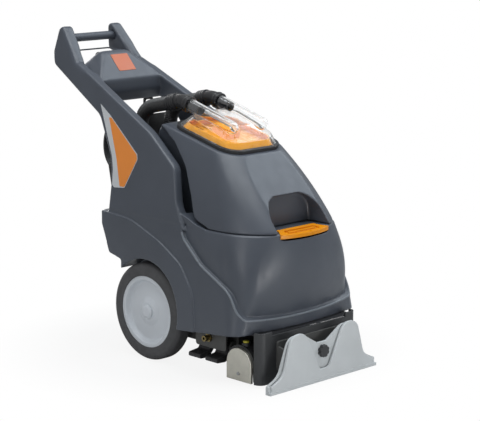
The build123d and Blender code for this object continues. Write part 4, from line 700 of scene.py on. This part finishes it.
def cheek_toe_share(co):
    """1 where a handle cheek's front edge runs out on its arm, and 0 elsewhere."""
    return share(math.hypot(co.x - CHEEK_TOE_XZ[0], co.z - CHEEK_TOE_XZ[1]), *CHEEK_TOE_REACH)


def shoulder_share(co):
    """1 on the ends of the recovery tank's rear top edge, and 0 elsewhere."""
    return share(co.x, *SHOULDER_X) * share(co.z, *SHOULDER_Z) * share(abs(co.y), *SHOULDER_HALF_Y)


def add_rounding(piece, rounds, group=""):
    """Smooths a piece, all over or where a vertex group says."""
    rounding = piece.modifiers.new("rounding", "SMOOTH")
    rounding.factor = SHELL_ROUND_FACTOR
    rounding.iterations = rounds
    rounding.vertex_group = group


def apply_modifiers(piece):
    """Replaces a piece's mesh with what its modifiers make of it."""
    graph = bpy.context.evaluated_depsgraph_get()
    mesh = bpy.data.meshes.new_from_object(piece.evaluated_get(graph))
    piece.modifiers.clear()
    piece.data = mesh


def rotomould(name, node_names, rounds, soft_places):
    """Shows CAD shells as one shell with the rounded edges that rotational moulding leaves.

    Each soft place is a function that says how much a point belongs to it, and its own rounds of smoothing.
    """
    joined_verts, joined_faces = [], []
    for node_name in node_names:
        verts, faces = shaped(node_name)
        joined_faces += [tuple(len(joined_verts) + i for i in face) for face in faces]
        joined_verts += verts
    slot = SLOT_OF[node_names[0]]
    piece = new_piece(name, joined_verts, joined_faces, BODY_OF[node_names[0]], slot)
    voxels = piece.modifiers.new("voxels", "REMESH")
    voxels.mode = "VOXEL"
    voxels.voxel_size = SHELL_VOXEL
    add_rounding(piece, rounds)
    apply_modifiers(piece)
    for place_share, place_rounds in soft_places:
        group = piece.vertex_groups.new(name=place_share.__name__)
        for vertex in piece.data.vertices:
            weight = place_share(vertex.co)
            if weight > 0:
                group.add([vertex.index], weight, "REPLACE")
        add_rounding(piece, place_rounds, group.name)
    thinning = piece.modifiers.new("thinning", "DECIMATE")
    thinning.ratio = SHELL_FACES_KEPT
    apply_modifiers(piece)
    piece.vertex_groups.clear()
    piece.data.shade_smooth()
    paint(piece, MATERIALS[slot])
    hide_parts(*node_names)


rotomould("body_shell", [
    "lower_tank", "right_arm", "left_arm", "right_handle_cheek", "left_handle_cheek", "console_housing",
], BODY_ROUNDS, [
    (upper_share, UPPER_BODY_ROUNDS), (console_share, CONSOLE_ROUNDS), (cheek_share, CHEEK_ROUNDS),
    (cheek_toe_share, CHEEK_TOE_ROUNDS), (corner_share, CORNER_ROUNDS),
])
rotomould("recovery_shell", ["recovery_tank"], RECOVERY_ROUNDS, [(shoulder_share, SHOULDER_ROUNDS)])


# Thin films: the bare panel on the right arm, the bare plate on the console and the deck cover

def film(name, outline, place, out, thickness, slot, material):
    """A thin film with a flat outline, laid on a flat face of the machine's body."""
    count = len(outline)
    low = [place(*p) for p in outline]
    verts = low + [v + out * thickness for v in low]
    faces = [tuple(range(count)), tuple(range(2 * count - 1, count - 1, -1))]
    faces += [(i, (i + 1) % count, count + (i + 1) % count, count + i) for i in range(count)]
    new_piece(name, verts, faces, "machine", slot, material)


def on_right_arm(x, z):
    """Point of the right arm's leaning outer face."""
    return Vector((x, -ARM_PEAK_HALF - ARM_LEAN * (ARM_PEAK_Z - z), z))


def on_console(y, down):
    """Point of the console's sloping face, by how far it is down the slope."""
    top, knee = Vector(CONSOLE_TOP_XZ), Vector(CONSOLE_KNEE_XZ)
    at = top + (knee - top).normalized() * down
    return Vector((at.x, y, at.y))


def on_deck(x, y):
    """Point of the level top of the brush deck."""
    return Vector((x, y, DECK_COVER_Z))


arm_out = Vector((0.0, -1.0, ARM_LEAN)).normalized()
film("arm_panel_edge", rounded_outline(PANEL_EDGE_XZ, PANEL_CORNER), on_right_arm, arm_out, PANEL_FILM,
     "grey_plastic", moulded("silver film", DECAL_SILVER, 0.35, cloud=0.03, wear=0.0))
film("arm_panel_face", rounded_outline(PANEL_FACE_XZ, PANEL_CORNER), on_right_arm, arm_out, 2 * PANEL_FILM,
     "orange_plastic", moulded("orange film", DECAL_ORANGE, 0.4, cloud=0.03, wear=0.0))

console_run = Vector(CONSOLE_KNEE_XZ) - Vector(CONSOLE_TOP_XZ)
console_out = Vector((-console_run.y, 0.0, console_run.x)).normalized()
plate_corners = [
    (PLATE_Y + side * PLATE_WIDTH / 2, PLATE_DOWN + end * PLATE_LENGTH / 2)
    for side, end in ((-1, -1), (1, -1), (1, 1), (-1, 1))
]
film("console_plate", rounded_outline(plate_corners, PLATE_CORNER), on_console, console_out, PLATE_FILM,
     "orange_plastic", moulded("orange plate", PLATE_ORANGE, 0.35, cloud=0.03, wear=0.0))
film("deck_cover", rounded_outline(DECK_COVER_XY, DECK_COVER_CORNER), on_deck, Vector((0.0, 0.0, 1.0)),
     DECK_COVER_FILM, "black_plastic", MATERIALS["black_plastic"])


# Vacuum hoses

def spline_points(points):
    """Points along a smooth line that follows a route's points."""
    curve = bpy.data.curves.new("route", "CURVE")
    curve.dimensions = "3D"
    curve.resolution_u = ROUTE_RESOLUTION
    spline = curve.splines.new("NURBS")
    spline.points.add(len(points) - 1)
    for point, place in zip(spline.points, points):
        point.co = (*place, 1.0)
    spline.order_u = 3
    spline.use_endpoint_u = True
    holder = bpy.data.objects.new("route", curve)
    mesh = bpy.data.meshes.new_from_object(holder)
    line = np.array([v.co for v in mesh.vertices])
    bpy.data.meshes.remove(mesh)
    bpy.data.objects.remove(holder)
    bpy.data.curves.remove(curve)
    return line


def ribbed_hose(name, side, node):
    """A ribbed hose with its bore, on a line that lies in one upright plane."""
    route = [(x, side * HOSE_Y, z) for x, z in HOSE_ROUTE_XZ]
    line, at = evenly(spline_points(route), HOSE_RIB_PITCH / HOSE_STEPS_PER_RIB)
    across = np.array([0.0, 1.0, 0.0])
    up = np.cross(directions(line), across)
    ribbed = np.clip(np.minimum(at, at[-1] - at) - HOSE_PLAIN_END, 0, HOSE_RIB_PITCH) / HOSE_RIB_PITCH
    wave = 0.5 - 0.5 * np.cos(2 * np.pi * (at - HOSE_PLAIN_END) / HOSE_RIB_PITCH)
    outer = HOSE_RADIUS - HOSE_RIB_DEPTH * (1 - wave ** HOSE_CREST_POWER) * ribbed
    steps = range(len(line))
    rings = [(i, outer[i]) for i in steps] + [(i, HOSE_BORE_RADIUS) for i in reversed(steps)]
    verts = [
        line[i] + radius * (math.cos(a) * across + math.sin(a) * up[i])
        for i, radius in rings for a in turns(HOSE_SIDES)
    ]
    hose = new_piece(name, verts, ring_faces(len(rings), HOSE_SIDES), "dome", "hose_plastic")
    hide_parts(node)


ribbed_hose("right_ribbed_hose", -1, "right_hose")
ribbed_hose("left_ribbed_hose", 1, "left_hose")


# Raised rings on the elbows' cuffs

def cuff_rings(name, side):
    """Rings round both cuffs of one elbow."""
    verts, faces = [], []
    across = Vector((0.0, 1.0, 0.0))
    for start, run, places in ((TUBE_CUFF_XZ, TUBE_CUFF_RUN_XZ, TUBE_CUFF_RINGS),
                               (HOSE_CUFF_XZ, HOSE_CUFF_RUN_XZ, HOSE_CUFF_RINGS)):
        way = Vector((run[0], 0.0, run[1]))
        up = way.cross(across)
        for along in places:
            centre = Vector((start[0], side * HOSE_Y, start[1])) + way * along
            ring = ring_faces(CUFF_RING_STEPS, CUFF_RING_SIDES)
            faces += [tuple(len(verts) + i for i in face) for face in ring]
            for a in turns(CUFF_RING_STEPS):
                out = math.cos(a) * across + math.sin(a) * up
                for b in turns(CUFF_RING_SIDES):
                    radius = CUFF_RADIUS + CUFF_RING_RADIUS * CUFF_RING_FLATNESS * math.cos(b)
                    verts.append(centre + out * radius + way * CUFF_RING_RADIUS * math.sin(b))
    new_piece(name, verts, faces, "dome", "black_plastic", ELBOW_FINISH)


cuff_rings("right_elbow_rings", -1)
cuff_rings("left_elbow_rings", 1)


# Bead along the swage line

tank_mesh = nodes["lower_tank"].data
tank_tree = BVHTree.FromPolygons(
    [v.co for v in tank_mesh.vertices], [tuple(face.vertices) for face in tank_mesh.polygons]
)


def surface_point(start, direction):
    """First point of the CAD tank that a straight line meets."""
    return tank_tree.ray_cast(Vector(start), Vector(direction))[0]


def bead_line():
    """The ledge's edge from the right arm's foot round the front to the left arm's foot."""
    side, front = [], []
    for x in np.arange(BEAD_SIDE_START_X, BEAD_SIDE_END_X, BEAD_SIDE_STEP):
        place = surface_point((x, -1.0, np.interp(x, *cad_swage) - 2 * BEAD_SINK), (0.0, 1.0, 0.0))
        side.append(Vector((x, place.y + BEAD_SINK, swage_height(x) - BEAD_SINK)))
    for y in np.linspace(-BEAD_FRONT_HALF, BEAD_FRONT_HALF, BEAD_FRONT_PLACES):
        place = surface_point((1.0, y, SWAGE_XZ[-1][1] - 2 * BEAD_SINK), (-1.0, 0.0, 0.0))
        front.append(Vector((place.x - BEAD_SINK, y, swage_height(place.x) - BEAD_SINK)))
    return side + front + [Vector((p.x, -p.y, p.z)) for p in reversed(side)]


def bead():
    """A rounded bead on the ledge, which catches the light as the moulded edge does, in a paler slate that
    paints a highlight on it.
    """
    line, _ = evenly(np.array(bead_line()), BEAD_STEP)
    for _ in range(BEAD_EASING_ROUNDS):
        line[1:-1] = (line[:-2] + 2 * line[1:-1] + line[2:]) / 4
    verts = []
    for place, way in zip(line, directions(line)):
        across = np.cross(way, (0.0, 0.0, 1.0))
        across /= np.linalg.norm(across)
        up = np.cross(across, way)
        verts += [place + BEAD_RADIUS * (math.cos(a) * across + math.sin(a) * up) for a in turns(BEAD_SIDES)]
    faces = ring_faces(len(line), BEAD_SIDES)[:-BEAD_SIDES]
    faces += [tuple(range(BEAD_SIDES)), tuple(range(len(verts) - 1, len(verts) - 1 - BEAD_SIDES, -1))]
    # The bead's paler slate is a painted highlight
    new_piece("swage_bead", verts, faces, "machine", "slate_plastic",
              moulded("slate painted highlight", SLATE_PAINTED_HIGHLIGHT, 0.3))


bead()


# Brush roller: a sleeve with helical rows of filament tufts

def tuft_places():
    """Angle and place along the axle of each tuft."""
    step = 2 * BRUSH_HALF / TUFTS_PER_ROW
    for row in range(TUFT_ROWS):
        for i in range(TUFTS_PER_ROW):
            y = -BRUSH_HALF + (i + 0.5) * step
            yield 2 * math.pi * (row / TUFT_ROWS + TUFT_TWIST * i / TUFTS_PER_ROW), y


def brush_filaments():
    """Filaments in tufts, each a slim three-sided spike, and the sleeve that carries them."""
    centre = np.array([BRUSH_AXIS_X, 0.0, BRUSH_AXIS_Z])
    along = np.array([0.0, 1.0, 0.0])
    dice = np.random.default_rng(BRUSH_SEED)
    sleeve = [
        (-BRUSH_HALF, BRUSH_CORE_RADIUS), (-BRUSH_HALF, BRUSH_SLEEVE_RADIUS),
        (BRUSH_HALF, BRUSH_SLEEVE_RADIUS), (BRUSH_HALF, BRUSH_CORE_RADIUS),
    ]
    verts = [
        centre + np.array([radius * math.cos(a), y, radius * math.sin(a)])
        for y, radius in sleeve for a in turns(BRUSH_SLEEVE_SIDES)
    ]
    faces = ring_faces(len(sleeve), BRUSH_SLEEVE_SIDES)
    for angle, y in tuft_places():
        out = np.array([math.cos(angle), 0.0, math.sin(angle)])
        round_way = np.array([-math.sin(angle), 0.0, math.cos(angle)])
        for _ in range(FILAMENTS_PER_TUFT):
            u, v = dice.uniform(-1, 1, 2) * TUFT_SPREAD
            root = centre + along * (y + u) + round_way * v + out * (BRUSH_SLEEVE_RADIUS - FILAMENT_SINK)
            lean = 1.0 + dice.uniform(*FILAMENT_LEAN)
            reach = BRUSH_RADIUS - dice.uniform(0.0, FILAMENT_SHORTFALL)
            tip = centre + along * (y + u * lean) + round_way * v * lean
            tip = tip + out * math.sqrt(max(reach ** 2 - (v * lean) ** 2, 0.0))
            base = len(verts)
            for place, size in ((root, FILAMENT_RADIUS), (tip, FILAMENT_TIP_SHARE * FILAMENT_RADIUS)):
                verts += [
                    place + size * (math.cos(turn) * along + math.sin(turn) * round_way)
                    for turn in turns(FILAMENT_SIDES)
                ]
            top = base + FILAMENT_SIDES
            for k in range(FILAMENT_SIDES):
                after = (k + 1) % FILAMENT_SIDES
                faces.append((base + k, base + after, top + after, top + k))
            faces.append(tuple(range(top - 1, base - 1, -1)))
            faces.append(tuple(range(top, top + FILAMENT_SIDES)))
    piece = new_piece("brush_filaments", verts, faces, "brush", "bristle_nylon")
    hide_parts("brush_bristles")


brush_filaments()


# Stage: pale floor, soft light and the camera

def floor_material():
    """Pale floor that holds the shadow near the object and is plain white further off."""
    material, tree, shader = new_material("floor")
    shader.inputs["Base Color"].default_value = (FLOOR_GREY, FLOOR_GREY, FLOOR_GREY, 1.0)
    shader.inputs["Roughness"].default_value = FLOOR_ROUGHNESS
    shader.inputs["Specular IOR Level"].default_value = 0.0
    coords = tree.nodes.new("ShaderNodeTexCoord")
    length = tree.nodes.new("ShaderNodeVectorMath")
    length.operation = "LENGTH"
    tree.links.new(coords.outputs["Object"], length.inputs[0])
    far = spread(tree, length.outputs["Value"], FLOOR_WHITE_NEAR, 1.0, *FLOOR_FADE)
    white = tree.nodes.new("ShaderNodeEmission")
    white.inputs["Color"].default_value = (*PLAIN_LIGHT, 1.0)
    white_share = combine(tree, "MULTIPLY", seen_by_camera(tree), far)
    show_blend(tree, white_share, shader.outputs["BSDF"], white.outputs["Emission"], "Material Output")
    return material


def add_floor():
    """A wide flat floor under the wheels."""
    mesh = bpy.data.meshes.new("floor")
    corners = [(x * FLOOR_HALF, y * FLOOR_HALF, 0) for x, y in ((-1, -1), (1, -1), (1, 1), (-1, 1))]
    mesh.from_pydata(corners, [], [(0, 1, 2, 3)])
    floor = bpy.data.objects.new("floor", mesh)
    floor.location.z = FLOOR_Z
    mesh.materials.append(floor_material())
    bpy.context.scene.collection.objects.link(floor)


def add_world():
    """White surroundings for the camera, with a lower light for the object."""
    world = bpy.data.worlds.new("studio")
    world.use_nodes = True
    tree = world.node_tree
    lit = tree.nodes["Background"]
    white = tree.nodes.new("ShaderNodeBackground")
    for background, strength in ((lit, WORLD_LIGHT), (white, 1.0)):
        background.inputs["Color"].default_value = (*PLAIN_LIGHT, 1.0)
        background.inputs["Strength"].default_value = strength
    show_blend(tree, seen_by_camera(tree), lit.outputs["Background"], white.outputs["Background"],
               "World Output")
    bpy.context.scene.world = world


def add_softbox(name, place, size, watts, colour=PLAIN_LIGHT, aim_at=CAMERA_TARGET):
    """A rectangular area light that faces the middle of the object, or another place."""
    data = bpy.data.lights.new(name, "AREA")
    data.shape = "RECTANGLE"
    data.size, data.size_y = size
    data.energy = watts
    data.color = colour
    lamp = bpy.data.objects.new(name, data)
    lamp.location = place
    aim = Vector(aim_at) - Vector(place)
    lamp.rotation_euler = aim.to_track_quat("-Z", "Y").to_euler()
    bpy.context.scene.collection.objects.link(lamp)


def add_camera():
    """The photograph's camera."""
    data = bpy.data.cameras.new("camera")
    data.lens = CAMERA_LENS_MM
    data.sensor_width = SENSOR_MM
    data.clip_end = CAMERA_REACH
    camera = bpy.data.objects.new("camera", data)
    camera.location = CAMERA_PLACE
    camera.rotation_euler = (CAMERA_TARGET - CAMERA_PLACE).to_track_quat("-Z", "Y").to_euler()
    bpy.context.scene.collection.objects.link(camera)
    bpy.context.scene.camera = camera


add_floor()
add_world()
add_softbox("top softbox", place=(0.4, -0.2, 3.2), size=(2.6, 2.6), watts=75, colour=COOL_LIGHT)
add_softbox("right softbox", place=(1.4, -4.0, 1.8), size=(1.6, 2.0), watts=23)
add_softbox("front strip", place=(3.8, 0.3, 0.5), size=(0.4, 0.9), watts=2)
add_softbox("corner strip", place=(1.34, 0.0, 0.13), size=(0.35, 0.24), watts=1.7, aim_at=(0.39, -0.15, 0.25))
add_softbox("left softbox", place=(0.6, 2.5, 2.7), size=(2.0, 2.0), watts=36, colour=BLUE_LIGHT)
add_softbox("back softbox", place=(-3.4, 0.9, 1.5), size=(2.0, 2.0), watts=45)
add_camera()
bpy.context.scene.view_settings.view_transform = "Standard"
